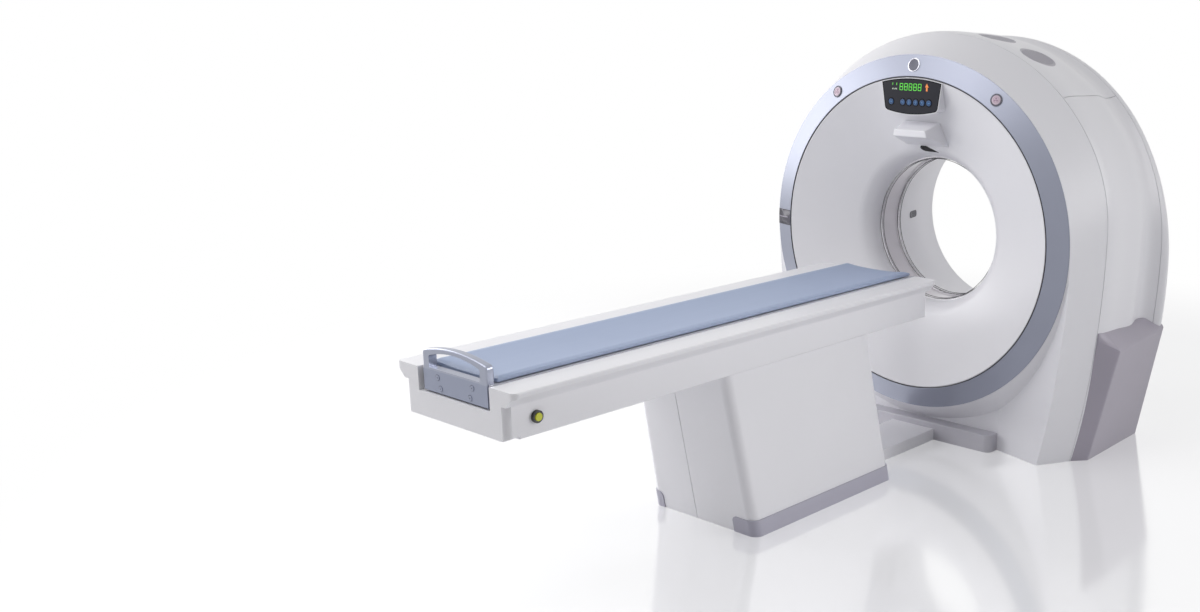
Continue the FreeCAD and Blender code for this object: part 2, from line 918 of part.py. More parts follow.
def belt_face(grow, depth):
    big = rotor_outer + grow
    small = pulley_radius + grow
    centre = Vector(pulley_x, 0, pulley_z - axis_height)
    distance = centre.Length
    heading = math.atan2(centre.z, centre.x)
    spread = math.acos((big - small) / distance)

    def big_point(angle):
        return place(big * math.cos(angle), depth, axis_height + big * math.sin(angle))

    def small_point(angle):
        return place(pulley_x + small * math.cos(angle), depth, pulley_z + small * math.sin(angle))

    over = heading + spread
    under = heading - spread
    edges = [
        Part.LineSegment(big_point(over), small_point(over)).toShape(),
        Part.Arc(small_point(over), small_point(heading), small_point(under)).toShape(),
        Part.LineSegment(small_point(under), big_point(under)).toShape(),
        Part.Arc(big_point(under), big_point(heading + math.pi), big_point(over)).toShape(),
    ]
    return face_of(edges)


def drive_belt():
    front = rotor_front + (rotor_thick - belt_width) / 2.0
    outer = belt_face(seat_gap + belt_thick, front).extrude(Vector(0, belt_width, 0))
    inner = belt_face(seat_gap, front - 1.0).extrude(Vector(0, belt_width + 2.0, 0))
    return outer.cut(inner)


def pulley_cylinder(radius, front, back):
    return Part.makeCylinder(radius, back - front, place(pulley_x, front, pulley_z), Vector(0, 1, 0))


def motor_pulley():
    wheel = pulley_cylinder(pulley_radius, rotor_front, rotor_back)
    shaft = pulley_cylinder(shaft_radius, rotor_front, rotor_back + shaft_length)
    return wheel.fuse(shaft).removeSplitter()


def drive_motor():
    front = rotor_back + 20.0
    motor = pulley_cylinder(motor_radius, front, front + motor_length)
    foot = block(pulley_x - motor_foot_half, pulley_x + motor_foot_half, front + 20.0,
                 front + motor_length - 20.0, base_height, pulley_z)
    motor = motor.fuse(foot)
    return motor.cut(pulley_cylinder(shaft_radius + fit_gap, front - 1.0, rotor_back + shaft_length + 1.0))


# Patient table

def leaned(z):
    return -pedestal_lean * z


def pedestal_loop(z, half, front, back, corner):
    shift = leaned(z)
    points = [
        place(-half, front + shift, z),
        place(half, front + shift, z),
        place(half, back + shift, z),
        place(-half, back + shift, z),
    ]
    return Part.Wire(outline_edges([(point, corner) for point in points]))


def pedestal_half_at(z):
    return pedestal_foot_half - (pedestal_foot_half - pedestal_top_half) * z / pedestal_height


def pedestal_form(grow, low, high):
    corner = pedestal_corner + min(grow, 0.0)
    wires = []
    for z in (low, high):
        wires.append(pedestal_loop(z, pedestal_half_at(z) + grow, pedestal_front - grow,
                                   pedestal_back + grow, corner))
    return Part.makeLoft(wires, True, True)


def lean_block(x0, x1, depth0, depth1, z0, z1):
    # a block whose long walls lean with the pedestal
    low = leaned(z0)
    points = [
        place(x0, depth0 + low, z0),
        place(x1, depth0 + low, z0),
        place(x1, depth1 + low, z0),
        place(x0, depth1 + low, z0),
    ]
    rise = Vector(0, leaned(z1) - low, z1 - z0)
    return rounded_face([(point, 0) for point in points]).extrude(rise)


def duct_space():
    return block(-duct_half, duct_half, table_plate_back, rail_depth, -1.0, duct_height)


def pedestal_shell():
    shell = pedestal_form(0.0, 0.0, pedestal_height)
    shell = shell.cut(pedestal_form(-pedestal_wall, -10.0, pedestal_height + 10.0))
    return shell.cut(duct_space())


def pedestal_half(shell, side):
    edge = pedestal_seam_x + side * seam / 2.0
    x0, x1 = sorted((edge, side * wide))
    return shell.common(block(x0, x1, 2.0 * pedestal_front, 0.0, -plinth_height, 1.2 * pedestal_height))


def table_plinth():
    skirt = pedestal_form(plinth_proud + seat_gap, 0.0, plinth_height)
    skirt = skirt.cut(pedestal_form(seat_gap, -10.0, plinth_height + 10.0))
    left, right = plinth_wrap
    x0 = -pedestal_foot_half + left
    x1 = pedestal_foot_half - right
    front = pedestal_front - plinth_height
    back = pedestal_back + plinth_height
    gap = block(x0, x1, front, back, -plinth_round, 2.0 * plinth_height)
    for x, heading in ((x0, -1), (x1, 1)):
        centre = x + heading * plinth_round
        low, high = sorted((x, centre))
        corner = block(low, high, front, back, plinth_height - plinth_round, 2.0 * plinth_height)
        gap = gap.fuse(corner.cut(Part.makeCylinder(
            plinth_round, back - front, place(centre, front, plinth_height - plinth_round),
            Vector(0, 1, 0))))
    return skirt.cut(gap)


def table_base_plate():
    half = pedestal_foot_half - pedestal_wall - plate_side_gap
    plate = block(-half, half, pedestal_front + pedestal_wall + plate_front_gap,
                  table_plate_back, 0.0, table_plate)
    plate = plate.makeFillet(pedestal_corner, edges_along(plate, Vector(0, 0, 1), lambda p: True))
    middle = (pedestal_front + pedestal_back) / 2.0
    for side in (-1, 1):
        for step in (-1, 1):
            bolt = place(side * table_bolts_x / 2.0, middle + step * table_bolts_y / 2.0, -1.0)
            plate = plate.cut(Part.makeCylinder(anchor_radius, table_plate + 2.0, bolt))
    return plate


def column_ends(gap):
    middle = (pedestal_front + pedestal_back) / 2.0
    return middle - column_depth / 2.0 + gap, middle + column_depth / 2.0 - gap


def lift_column():
    front, back = column_ends(0.0)
    outer = lean_block(-column_half, column_half, front, back, table_plate, column_top)
    inner = lean_block(-column_half + column_wall, column_half - column_wall, front + column_wall,
                       back - column_wall, table_plate + 12.0, column_top + 5.0)
    return outer.cut(inner)


def lift_carriage():
    gap = column_wall + seat_gap
    front, back = column_ends(gap)
    half = column_half - gap
    post = lean_block(-half, half, front, back, carriage_bottom, apron_bottom - carriage_plate)
    hollow = lean_block(-half + column_wall, half - column_wall, front + column_wall,
                        back - column_wall, carriage_bottom - 1.0, apron_bottom - carriage_plate - 20.0)
    head_half = pedestal_top_half - pedestal_wall - sleeve_clear - sleeve_wall
    rise = leaned(apron_bottom)
    head = block(-head_half, head_half, pedestal_front + rise + 12.0, pedestal_back + rise - 12.0,
                 apron_bottom - carriage_plate, apron_bottom)
    corner = pedestal_corner - pedestal_wall - sleeve_clear - sleeve_wall
    head = head.makeFillet(corner, edges_along(head, Vector(0, 0, 1), lambda p: True))
    return post.cut(hollow).fuse(head).removeSplitter()


def lift_inner_cover():
    outer_gap = pedestal_wall + sleeve_clear
    half = pedestal_top_half - outer_gap
    corner = pedestal_corner - outer_gap
    rise = Vector(0, leaned(apron_bottom) - leaned(sleeve_bottom), apron_bottom - sleeve_bottom)
    outer = Part.Face(pedestal_loop(sleeve_bottom, half, pedestal_front + outer_gap,
                                    pedestal_back - outer_gap, corner)).extrude(rise)
    inner = Part.Face(pedestal_loop(sleeve_bottom, half - sleeve_wall,
                                    pedestal_front + outer_gap + sleeve_wall,
                                    pedestal_back - outer_gap - sleeve_wall,
                                    corner - sleeve_wall)).extrude(rise)
    return outer.cut(inner)


def floor_duct():
    front = table_plate_back + seat_gap
    back = rail_depth - seat_gap
    half = duct_half - 1.0
    top = duct_height - 1.0
    outer = block(-half, half, front, back, 0.0, top)
    outer = outer.makeFillet(4.0, edges_along(outer, Vector(0, 1, 0), lambda p: p.z > top - 1.0))
    inner = block(-half + duct_wall, half - duct_wall, front - 1.0, back + 1.0, -1.0, top - duct_wall)
    return outer.cut(inner)


def top_profile(depth, chamfer):
    right_side = [
        ((trough_half, trough_floor), 0.0),
        ((trough_half, flange_top), 3.0),
        ((flange_half, flange_top), flange_round),
        ((flange_half, flange_under), flange_round),
        ((flange_half - 11.0, flange_under), 4.0),
        ((apron_half, apron_top), 14.0),
        ((apron_half, apron_bottom + 0.5 * chamfer), 4.0),
        ((apron_half - chamfer, apron_bottom), 4.0),
    ]
    corners = [(place(x, depth, z), radius) for (x, z), radius in right_side]
    for (x, z), radius in reversed(right_side):
        corners.append((place(-x, depth, z), radius))
    return rounded_face(corners)


def corner_pair(half, corner, depth, heading, high):
    # what is cut away to round two upright corners up to a height; the rounding starts at depth
    reach = 1.2 * corner
    tool = block(half - corner, half + corner, depth, depth + reach, 0.0, high)
    tool = tool.cut(Part.makeCylinder(corner, high, place(half - corner, depth, 0.0)))
    if heading < 0:
        tool = tool.mirror(place(0, depth, 0), Vector(0, 1, 0))
    return tool.fuse(mirrored(tool))


def tabletop():
    front = top_foot + cap_length
    body = top_profile(front, apron_chamfer).extrude(Vector(0, top_head - front, 0))
    rounding = top_head - apron_head_corner
    body = body.cut(corner_pair(apron_half, apron_head_corner, rounding, 1, apron_top))
    hollow_half = apron_half - top_wall
    hollow = block(-hollow_half, hollow_half, front - 1.0, top_head - top_wall,
                   apron_bottom + apron_floor, trough_floor - top_wall)
    hollow = hollow.cut(corner_pair(hollow_half, apron_head_corner - top_wall, rounding, 1, apron_top))
    body = body.cut(hollow)
    body = body.cut(corner_pair(flange_half, flange_head_corner, top_head - flange_head_corner, 1,
                                2.0 * flange_top))
    hole = Part.makeCylinder(stop_cap + bezel_bore_gap, 40.0,
                             place(apron_half - 30.0, stop_depth, stop_height), Vector(1, 0, 0))
    return body.cut(hole)


def foot_end_cap():
    # the two front corners of the apron are coved, up to the slope below the flange
    cap = top_profile(top_foot, cap_chamfer).extrude(Vector(0, cap_length, 0))
    for side in (-1, 1):
        corner = place(side * apron_half, top_foot, 0.0)
        cap = cap.cut(Part.makeCylinder(cap_cove, apron_top, corner))
    return cap.cut(corner_pair(flange_half, flange_foot_corner, top_foot + flange_foot_corner, -1,
                               2.0 * flange_top))


def cradle_rails():
    rails = []
    for side in (-1, 1):
        x0 = side * rail_x - rail_width / 2.0
        front = top_foot + cap_length
        rails.append(block(x0, x0 + rail_width, front, top_head - 20.0, trough_floor,
                           trough_floor + rail_tall))
    return Part.makeCompound(rails)


def sagged_face(half, edge_z, sag, thick, depth):
    # a shallow trough section: the upper and lower faces sag by the same amount
    radius = (half ** 2 + sag ** 2) / (2.0 * sag)
    top = Part.Arc(place(-half, depth, edge_z), place(0, depth, edge_z - sag), place(half, depth, edge_z))
    low = Part.Arc(place(half, depth, edge_z - thick), place(0, depth, edge_z - sag - thick),
                   place(-half, depth, edge_z - thick))
    edges = [
        top.toShape(),
        Part.LineSegment(place(half, depth, edge_z), place(half, depth, edge_z - thick)).toShape(),
        low.toShape(),
        Part.LineSegment(place(-half, depth, edge_z - thick), place(-half, depth, edge_z)).toShape(),
    ]
    return face_of(edges)


def cradle_shell():
    length = top_head - cradle_foot
    tray = sagged_face(cradle_half, cradle_edge, cradle_sag, cradle_thick, cradle_foot)
    tray = tray.extrude(Vector(0, length, 0))
    runners = []
    runner_front = top_foot + cap_length + plate_thick
    for side in (-1, 1):
        x0 = side * rail_x - rail_width / 2.0
        runners.append(block(x0, x0 + rail_width, runner_front, runner_front + carriage_length,
                             trough_floor + rail_tall + seat_gap, cradle_edge))
    under = sagged_face(cradle_half, cradle_edge - 1.0, cradle_sag, 100.0, cradle_foot)
    under = under.extrude(Vector(0, length, 0))
    return tray.fuse([runner.common(under) for runner in runners]).removeSplitter()


def pad():
    front = handle_front + handle_depth + pad_gap
    back = top_head - pad_gap
    shape = sagged_face(pad_half, pad_edge + seat_gap, cradle_sag, pad_thick, front)
    shape = shape.extrude(Vector(0, back - front, 0))
    long_edges = edges_along(shape, Vector(0, 1, 0), lambda p: p.z > pad_edge - 2.0)
    return shape.makeFillet(pad_round, long_edges)


def handle_plate():
    return block(-plate_half, plate_half, handle_front, handle_front + plate_thick, plate_bottom,
                 plate_top)


def handle_outline(inset, corner, low):
    half = plate_half - inset
    drop = inset * handle_bar / handle_post
    shoulder = handle_shoulder - drop
    top = handle_top - drop
    edges = [
        Part.LineSegment(place(-half, handle_front, low), place(-half, handle_front, shoulder)).toShape(),
        Part.Arc(place(-half, handle_front, shoulder), place(0, handle_front, top),
                 place(half, handle_front, shoulder)).toShape(),
        Part.LineSegment(place(half, handle_front, shoulder), place(half, handle_front, low)).toShape(),
        Part.LineSegment(place(half, handle_front, low), place(-half, handle_front, low)).toShape(),
    ]
    solid = face_of(edges).extrude(Vector(0, handle_depth, 0))
    corners = edges_along(solid, Vector(0, 1, 0), lambda p: p.z > low + 10.0)
    return solid.makeFillet(corner, corners)


def handle_arch():
    outer = handle_outline(0.0, handle_corner, plate_top)
    rim = [edge for edge in outer.Edges if edge.BoundBox.YLength < 0.1
           and edge.BoundBox.ZMax > plate_top + 1.0]
    outer = outer.makeFillet(handle_round, rim)
    arch = outer.cut(handle_outline(handle_post, handle_corner * 0.4, plate_top + handle_sill))
    clear = sagged_face(cradle_half, cradle_edge + seat_gap, cradle_sag, 60.0, cradle_foot)
    return arch.cut(clear.extrude(Vector(0, handle_depth + 5.0, 0)))


def stop_plug(radius, low, high):
    return Part.makeCylinder(radius, high - low, place(apron_half + low, stop_depth, stop_height),
                             Vector(1, 0, 0))


def button_bezel():
    rim = stop_plug(stop_bezel, 0.0, stop_proud)
    front_edge = [edge for edge in rim.Edges if edge.BoundBox.XMin > apron_half + stop_proud - 0.1]
    rim = rim.makeFillet(2.0, front_edge)
    return rim.cut(stop_plug(stop_cap + seat_gap, -1.0, stop_proud + 1.0))


def release_button():
    reach = stop_proud + stop_stem
    cap = stop_plug(stop_cap, -stop_stem, reach)
    tip = [edge for edge in cap.Edges if edge.BoundBox.XMin > apron_half + reach - 0.1]
    return cap.makeFillet(2.5, tip)


# Build and write every piece

form = gantry_form(0.0)
void = gantry_form(wall, 40.0)
hoop_form = gantry_form(wall + seat_gap, 40.0).cut(gantry_form(wall + hoop_thick, 60.0))
shell = body_shell(form, void)
grille_band = gantry_form(vent_sunk).cut(gantry_form(vent_sunk + vent_thick, 40.0))
dish = behind_dish(-seat_gap)

export("front_cover", front_cover(form, void))
trim = ring_trim()
for side in (-1, 1):
    trim = trim.cut(port_plug(side, port_bezel, -port_sunk, 20.0))
export("ring_trim", trim)
export("port_bezels", port_bezels())
export("port_button_left", port_button(-1))
export("port_button_right", port_button(1))

export("front_funnel", front_funnel().cut(slot_cutter(0.0)))
lens = slot_cutter(seat_gap).common(behind_dish(0.5)).cut(behind_dish(wall))
export("laser_window", lens)
export("laser_housing", laser_housing(dish))
export("front_window_ring", window_ring(dish_end))
export("scan_window", scan_window())
export("rear_window_ring", window_ring(window_back))
export("rear_liner", rear_liner())

export("top_cover", top_cover(shell))
export("top_vents", top_vents(grille_band))
right_cover = side_cover(shell)
export("side_cover_right", right_cover)
export("side_cover_left", mirrored(right_cover))
export("rear_cover", rear_cover(form, void))
right_box = foot_box(gantry_form(-seat_gap))
export("foot_box_right", right_box)
export("foot_box_left", mirrored(right_box))
export("foot_rail", foot_rail())

export("display_bezel", display_bezel(dish))
export("display_screen", display_screen())
for number, x in enumerate(key_positions()):
    export("panel_key_" + str(number + 1), panel_key(x))

export("gantry_base_frame", base_frame())
export("cover_hoops", cover_hoops(hoop_form))
export("stator_frame", stator_frame())
export("bearing_outer_race", race(race_split + fit_gap, race_outer, race_front, stator_front))
export("bearing_inner_race", race(race_inner, race_split, rotor_back, stator_front - race_clear))
export("rotor_plate", rotor_plate())
export("xray_tube", xray_tube())
export("collimator", collimator())
export("detector_array", detector_array())
export("hv_tanks", hv_tanks())
export("slip_ring", slip_ring())
export("brush_block", brush_block())
export("drive_belt", drive_belt())
export("motor_pulley", motor_pulley())
export("drive_motor", drive_motor())

pedestal = pedestal_shell()
export("pedestal_cover_left", pedestal_half(pedestal, -1))
export("pedestal_cover_right", pedestal_half(pedestal, 1))
export("table_plinth", table_plinth())
export("table_base_plate", table_base_plate())
export("lift_column", lift_column())
export("lift_carriage", lift_carriage())
export("lift_inner_cover", lift_inner_cover())
export("floor_duct", floor_duct())

export("tabletop", tabletop())
export("foot_end_cap", foot_end_cap())
export("cradle_rails", cradle_rails())
export("cradle_shell", cradle_shell())
export("pad", pad())
export("handle_plate", handle_plate())
export("handle_arch", handle_arch())
export("button_bezel", button_bezel())
export("release_button", release_button())
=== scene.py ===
import math
import bpy
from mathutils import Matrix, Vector


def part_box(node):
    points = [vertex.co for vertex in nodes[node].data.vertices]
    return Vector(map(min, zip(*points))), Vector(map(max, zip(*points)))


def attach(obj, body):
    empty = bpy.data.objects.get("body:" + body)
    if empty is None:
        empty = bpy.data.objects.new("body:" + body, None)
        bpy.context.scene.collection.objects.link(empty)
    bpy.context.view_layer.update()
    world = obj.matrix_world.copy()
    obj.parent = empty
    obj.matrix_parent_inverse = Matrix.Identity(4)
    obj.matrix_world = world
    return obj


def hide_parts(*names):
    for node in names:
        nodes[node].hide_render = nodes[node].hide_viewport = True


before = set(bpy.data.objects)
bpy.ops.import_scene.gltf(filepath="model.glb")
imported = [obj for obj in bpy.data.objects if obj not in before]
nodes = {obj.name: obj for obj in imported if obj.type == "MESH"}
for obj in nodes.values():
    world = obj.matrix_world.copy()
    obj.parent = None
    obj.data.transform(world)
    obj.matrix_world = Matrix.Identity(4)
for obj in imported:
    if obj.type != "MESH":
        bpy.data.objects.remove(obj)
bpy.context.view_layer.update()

axisHeight = 1.016   # the bore's axis above the floor
frontDepth = -0.294  # Y of the front ring's outer edge

print("frame loaded:", len(nodes), "nodes")


# Small helpers

def leaveEdit():
    if bpy.context.object and bpy.context.object.mode != "OBJECT":
        bpy.ops.object.mode_set(mode="OBJECT")


def deselectAll():
    leaveEdit()
    bpy.ops.object.select_all(action="DESELECT")


def makeActive(piece):
    deselectAll()
    piece.select_set(True)
    bpy.context.view_layer.objects.active = piece


def editAll(piece):
    makeActive(piece)
    bpy.ops.object.mode_set(mode="EDIT")
    bpy.ops.mesh.select_all(action="SELECT")


# Finishes: every one is mixed from noise on Object coordinates, and has the plain look's values unless it
# gives its own

plainLook = {"cloudScale": 3.0, "cloudDetail": 3.0, "ramp": (0.3, 0.7), "smudgeScale": 11.0,
             "smudgeDetail": 4.0, "grainDepth": 0.0, "grainDetail": 2.0, "grainStrength": 0.35,
             "metal": 0.0, "specular": 0.5, "coat": 0.0, "coatRough": 0.1}


def addNode(tree, kind, **values):
    node = tree.nodes.new(kind)
    for key, value in values.items():
        if key in node.inputs:
            node.inputs[key].default_value = value
        else:
            setattr(node, key, value)
    return node


def makeFinish(name, ownLook):
    look = {**plainLook, **ownLook}
    finish = bpy.data.materials.new(name)
    finish.use_nodes = True
    tree = finish.node_tree
    link = tree.links.new
    shader = tree.nodes["Principled BSDF"]
    place = addNode(tree, "ShaderNodeTexCoord")
    cloud = addNode(tree, "ShaderNodeTexNoise", Scale=look["cloudScale"], Detail=look["cloudDetail"])
    link(place.outputs["Object"], cloud.inputs["Vector"])
    tone = addNode(tree, "ShaderNodeValToRGB")
    for stop, position, colour in zip(tone.color_ramp.elements, look["ramp"], (look["deep"], look["colour"])):
        stop.position = position
        stop.color = (*colour, 1.0)
    link(cloud.outputs["Fac"], tone.inputs["Fac"])
    link(tone.outputs["Color"], shader.inputs["Base Color"])
    smudge = addNode(tree, "ShaderNodeTexNoise", Scale=look["smudgeScale"], Detail=look["smudgeDetail"])
    link(place.outputs["Object"], smudge.inputs["Vector"])
    gloss = addNode(tree, "ShaderNodeMapRange")
    gloss.inputs["To Min"].default_value, gloss.inputs["To Max"].default_value = look["rough"]
    link(smudge.outputs["Fac"], gloss.inputs["Value"])
    link(gloss.outputs["Result"], shader.inputs["Roughness"])
    if look["grainDepth"] > 0.0:
        grain = addNode(tree, "ShaderNodeTexNoise", Scale=look["grainScale"], Detail=look["grainDetail"])
        link(place.outputs["Object"], grain.inputs["Vector"])
        relief = addNode(tree, "ShaderNodeBump", Strength=look["grainStrength"], Distance=look["grainDepth"])
        link(grain.outputs["Fac"], relief.inputs["Height"])
        link(relief.outputs["Normal"], shader.inputs["Normal"])
    shader.inputs["Metallic"].default_value = look["metal"]
    shader.inputs["Specular IOR Level"].default_value = look["specular"]
    shader.inputs["Coat Weight"].default_value = look["coat"]
    shader.inputs["Coat Roughness"].default_value = look["coatRough"]
    if "glow" in look:
        shader.inputs["Emission Color"].default_value = (*look["glow"], 1.0)
        shader.inputs["Emission Strength"].default_value = look["glowStrength"]
    return finish


finishLooks = {
    "coverWhite": {"colour": (0.80, 0.795, 0.835), "deep": (0.79, 0.785, 0.825), "rough": (0.30, 0.33),
                   "grainScale": 1400.0, "grainDepth": 0.00004},
    # The covers' white plastic made darker for the dish: painted shade
    "funnelShadedWhite": {"colour": (0.735, 0.73, 0.765), "deep": (0.725, 0.72, 0.755), "rough": (0.30, 0.32),
                    "grainScale": 1400.0, "grainDepth": 0.00003},
    "tableWhite": {"colour": (0.80, 0.795, 0.83), "deep": (0.79, 0.785, 0.82), "rough": (0.32, 0.36),
                   "grainScale": 1400.0, "grainDepth": 0.00004},
    "ringBlue": {"colour": (0.262, 0.278, 0.350), "deep": (0.255, 0.270, 0.340), "rough": (0.31, 0.34),
                 "metal": 0.5, "coat": 0.5, "coatRough": 0.3, "cloudScale": 6.0,
                 "grainScale": 2500.0, "grainDepth": 0.00005},
    "trimChrome": {"colour": (0.95, 0.94, 0.97), "deep": (0.93, 0.92, 0.95), "rough": (0.10, 0.13),
                   "metal": 0.7, "grainScale": 600.0, "grainDepth": 0.00003},
    "portSteel": {"colour": (0.075, 0.072, 0.090), "deep": (0.060, 0.058, 0.075), "rough": (0.22, 0.28),
                  "metal": 0.6, "grainScale": 900.0, "grainDepth": 0.00002},
    "windowGloss": {"colour": (0.64, 0.61, 0.66), "deep": (0.62, 0.59, 0.64), "rough": (0.12, 0.16),
                    "coat": 0.5, "grainScale": 200.0, "grainDepth": 0.00003},
    "footGrey": {"colour": (0.39, 0.36, 0.43), "deep": (0.37, 0.345, 0.41), "rough": (0.36, 0.40),
                 "grainScale": 700.0, "grainDepth": 0.0001},
    "plinthGrey": {"colour": (0.42, 0.41, 0.49), "deep": (0.40, 0.39, 0.47), "rough": (0.36, 0.40),
                   "grainScale": 700.0, "grainDepth": 0.0001},
    "railGrey": {"colour": (0.52, 0.51, 0.56), "deep": (0.50, 0.49, 0.54), "rough": (0.30, 0.40),
                 "grainScale": 700.0, "grainDepth": 0.0001},
    "ventGrey": {"colour": (0.46, 0.445, 0.50), "deep": (0.44, 0.425, 0.48), "rough": (0.40, 0.50),
                 "grainScale": 500.0, "grainDepth": 0.0001},
    "panelCharcoal": {"colour": (0.022, 0.022, 0.030), "deep": (0.019, 0.019, 0.026), "rough": (0.30, 0.36),
                      "specular": 0.18, "grainScale": 900.0, "grainDepth": 0.00003},
    "lensBlack": {"colour": (0.012, 0.012, 0.016), "deep": (0.008, 0.008, 0.010), "rough": (0.10, 0.14),
                  "specular": 0.2, "grainScale": 200.0, "grainDepth": 0.00002},
    "frameSteel": {"colour": (0.40, 0.42, 0.46), "deep": (0.34, 0.36, 0.40), "rough": (0.40, 0.52),
                   "grainScale": 300.0, "grainDepth": 0.0003},
    "raceSteel": {"colour": (0.56, 0.56, 0.58), "deep": (0.48, 0.48, 0.50), "rough": (0.22, 0.32),
                  "metal": 1.0, "grainScale": 500.0, "grainDepth": 0.0001},
    "castAlloy": {"colour": (0.60, 0.61, 0.63), "deep": (0.50, 0.51, 0.53), "rough": (0.38, 0.52),
                  "metal": 0.9, "grainScale": 260.0, "grainDepth": 0.0004},
    "shieldGrey": {"colour": (0.17, 0.17, 0.19), "deep": (0.15, 0.15, 0.17), "rough": (0.40, 0.52),
                   "grainScale": 300.0, "grainDepth": 0.0002},
    "contactBrass": {"colour": (0.70, 0.52, 0.26), "deep": (0.60, 0.43, 0.20), "rough": (0.20, 0.32),
                     "metal": 1.0, "grainScale": 700.0, "grainDepth": 0.0001},
    "brushBlack": {"colour": (0.05, 0.05, 0.055), "deep": (0.03, 0.03, 0.035), "rough": (0.50, 0.62),
                   "grainScale": 300.0, "grainDepth": 0.0002},
    "beltRubber": {"colour": (0.035, 0.035, 0.036), "deep": (0.02, 0.02, 0.02), "rough": (0.62, 0.78),
                   "grainScale": 500.0, "grainDepth": 0.0003},
    "cradleGrey": {"colour": (0.62, 0.62, 0.68), "deep": (0.58, 0.58, 0.64), "rough": (0.26, 0.34),
                   "grainScale": 500.0, "grainDepth": 0.00008},
    "padBlue": {"colour": (0.335, 0.400, 0.560), "deep": (0.322, 0.386, 0.543), "rough": (0.48, 0.54),
                "grainScale": 1400.0, "grainDepth": 0.00012},
    "handleAlloy": {"colour": (0.36, 0.38, 0.46), "deep": (0.345, 0.365, 0.445), "rough": (0.27, 0.30),
                    "metal": 0.7, "grainScale": 2500.0, "grainDepth": 0.00001},
    "plateBlue": {"colour": (0.31, 0.335, 0.43), "deep": (0.295, 0.32, 0.415), "rough": (0.36, 0.40),
                  "metal": 0.5, "grainScale": 1500.0, "grainDepth": 0.00005},
    "bezelBlack": {"colour": (0.014, 0.014, 0.014), "deep": (0.009, 0.009, 0.009), "rough": (0.20, 0.28),
                   "grainScale": 900.0, "grainDepth": 0.00003},
    "capYellow": {"colour": (0.58, 0.60, 0.018), "deep": (0.53, 0.55, 0.016), "rough": (0.22, 0.30),
                  "grainScale": 900.0, "grainDepth": 0.00003},
    "capPink": {"colour": (0.62, 0.50, 0.58), "deep": (0.58, 0.46, 0.54), "rough": (0.24, 0.32),
                "grainScale": 900.0, "grainDepth": 0.00003},
    "keyBlue": {"colour": (0.012, 0.048, 0.14), "deep": (0.010, 0.040, 0.12), "rough": (0.24, 0.32),
                "grainScale": 900.0, "grainDepth": 0.00003},
    "badgeSilver": {"colour": (0.62, 0.62, 0.68), "deep": (0.58, 0.58, 0.64), "rough": (0.18, 0.24),
                    "metal": 0.8, "grainScale": 900.0, "grainDepth": 0.00003},
    "badgeSlate": {"colour": (0.10, 0.10, 0.13), "deep": (0.08, 0.08, 0.11), "rough": (0.22, 0.30),
                   "metal": 0.3, "grainScale": 900.0, "grainDepth": 0.00003},
    "plateDark": {"colour": (0.055, 0.050, 0.072), "deep": (0.045, 0.041, 0.060), "rough": (0.26, 0.34),
                  "grainScale": 900.0, "grainDepth": 0.00003},
    "plateLine": {"colour": (0.30, 0.28, 0.34), "deep": (0.26, 0.24, 0.30), "rough": (0.26, 0.34),
                  "grainScale": 900.0, "grainDepth": 0.00003},
    "sealBlack": {"colour": (0.030, 0.030, 0.036), "deep": (0.022, 0.022, 0.027), "rough": (0.34, 0.44),
                  "grainScale": 900.0, "grainDepth": 0.00003},
    "displayEdge": {"colour": (0.003, 0.003, 0.005), "deep": (0.002, 0.002, 0.003), "rough": (0.30, 0.36),
                    "specular": 0.10, "grainScale": 900.0, "grainDepth": 0.00002},
    "digitGreen": {"colour": (0.10, 0.60, 0.06), "deep": (0.08, 0.55, 0.05), "rough": (0.30, 0.40),
                   "glow": (0.14, 0.80, 0.05), "glowStrength": 0.5},
    "markWhite": {"colour": (0.62, 0.72, 0.60), "deep": (0.58, 0.68, 0.56), "rough": (0.30, 0.40),
                  "glow": (0.7, 0.9, 0.66), "glowStrength": 0.35},
    "markOrange": {"colour": (0.70, 0.22, 0.05), "deep": (0.64, 0.20, 0.04), "rough": (0.30, 0.40),
                   "glow": (0.9, 0.28, 0.06), "glowStrength": 0.35},
    "symbolBlue": {"colour": (0.07, 0.21, 0.45), "deep": (0.06, 0.18, 0.40), "rough": (0.24, 0.32)},
    "markMauve": {"colour": (0.34, 0.20, 0.30), "deep": (0.30, 0.17, 0.26), "rough": (0.26, 0.34)},
    # Near-black for painted shade: the screws' sockets and the shadow crescent beside their heads
    "recessShade": {"colour": (0.045, 0.045, 0.065), "deep": (0.035, 0.035, 0.050), "rough": (0.34, 0.44),
                   "metal": 0.4},
}
finishes = {name: makeFinish(name, look) for name, look in finishLooks.items()}

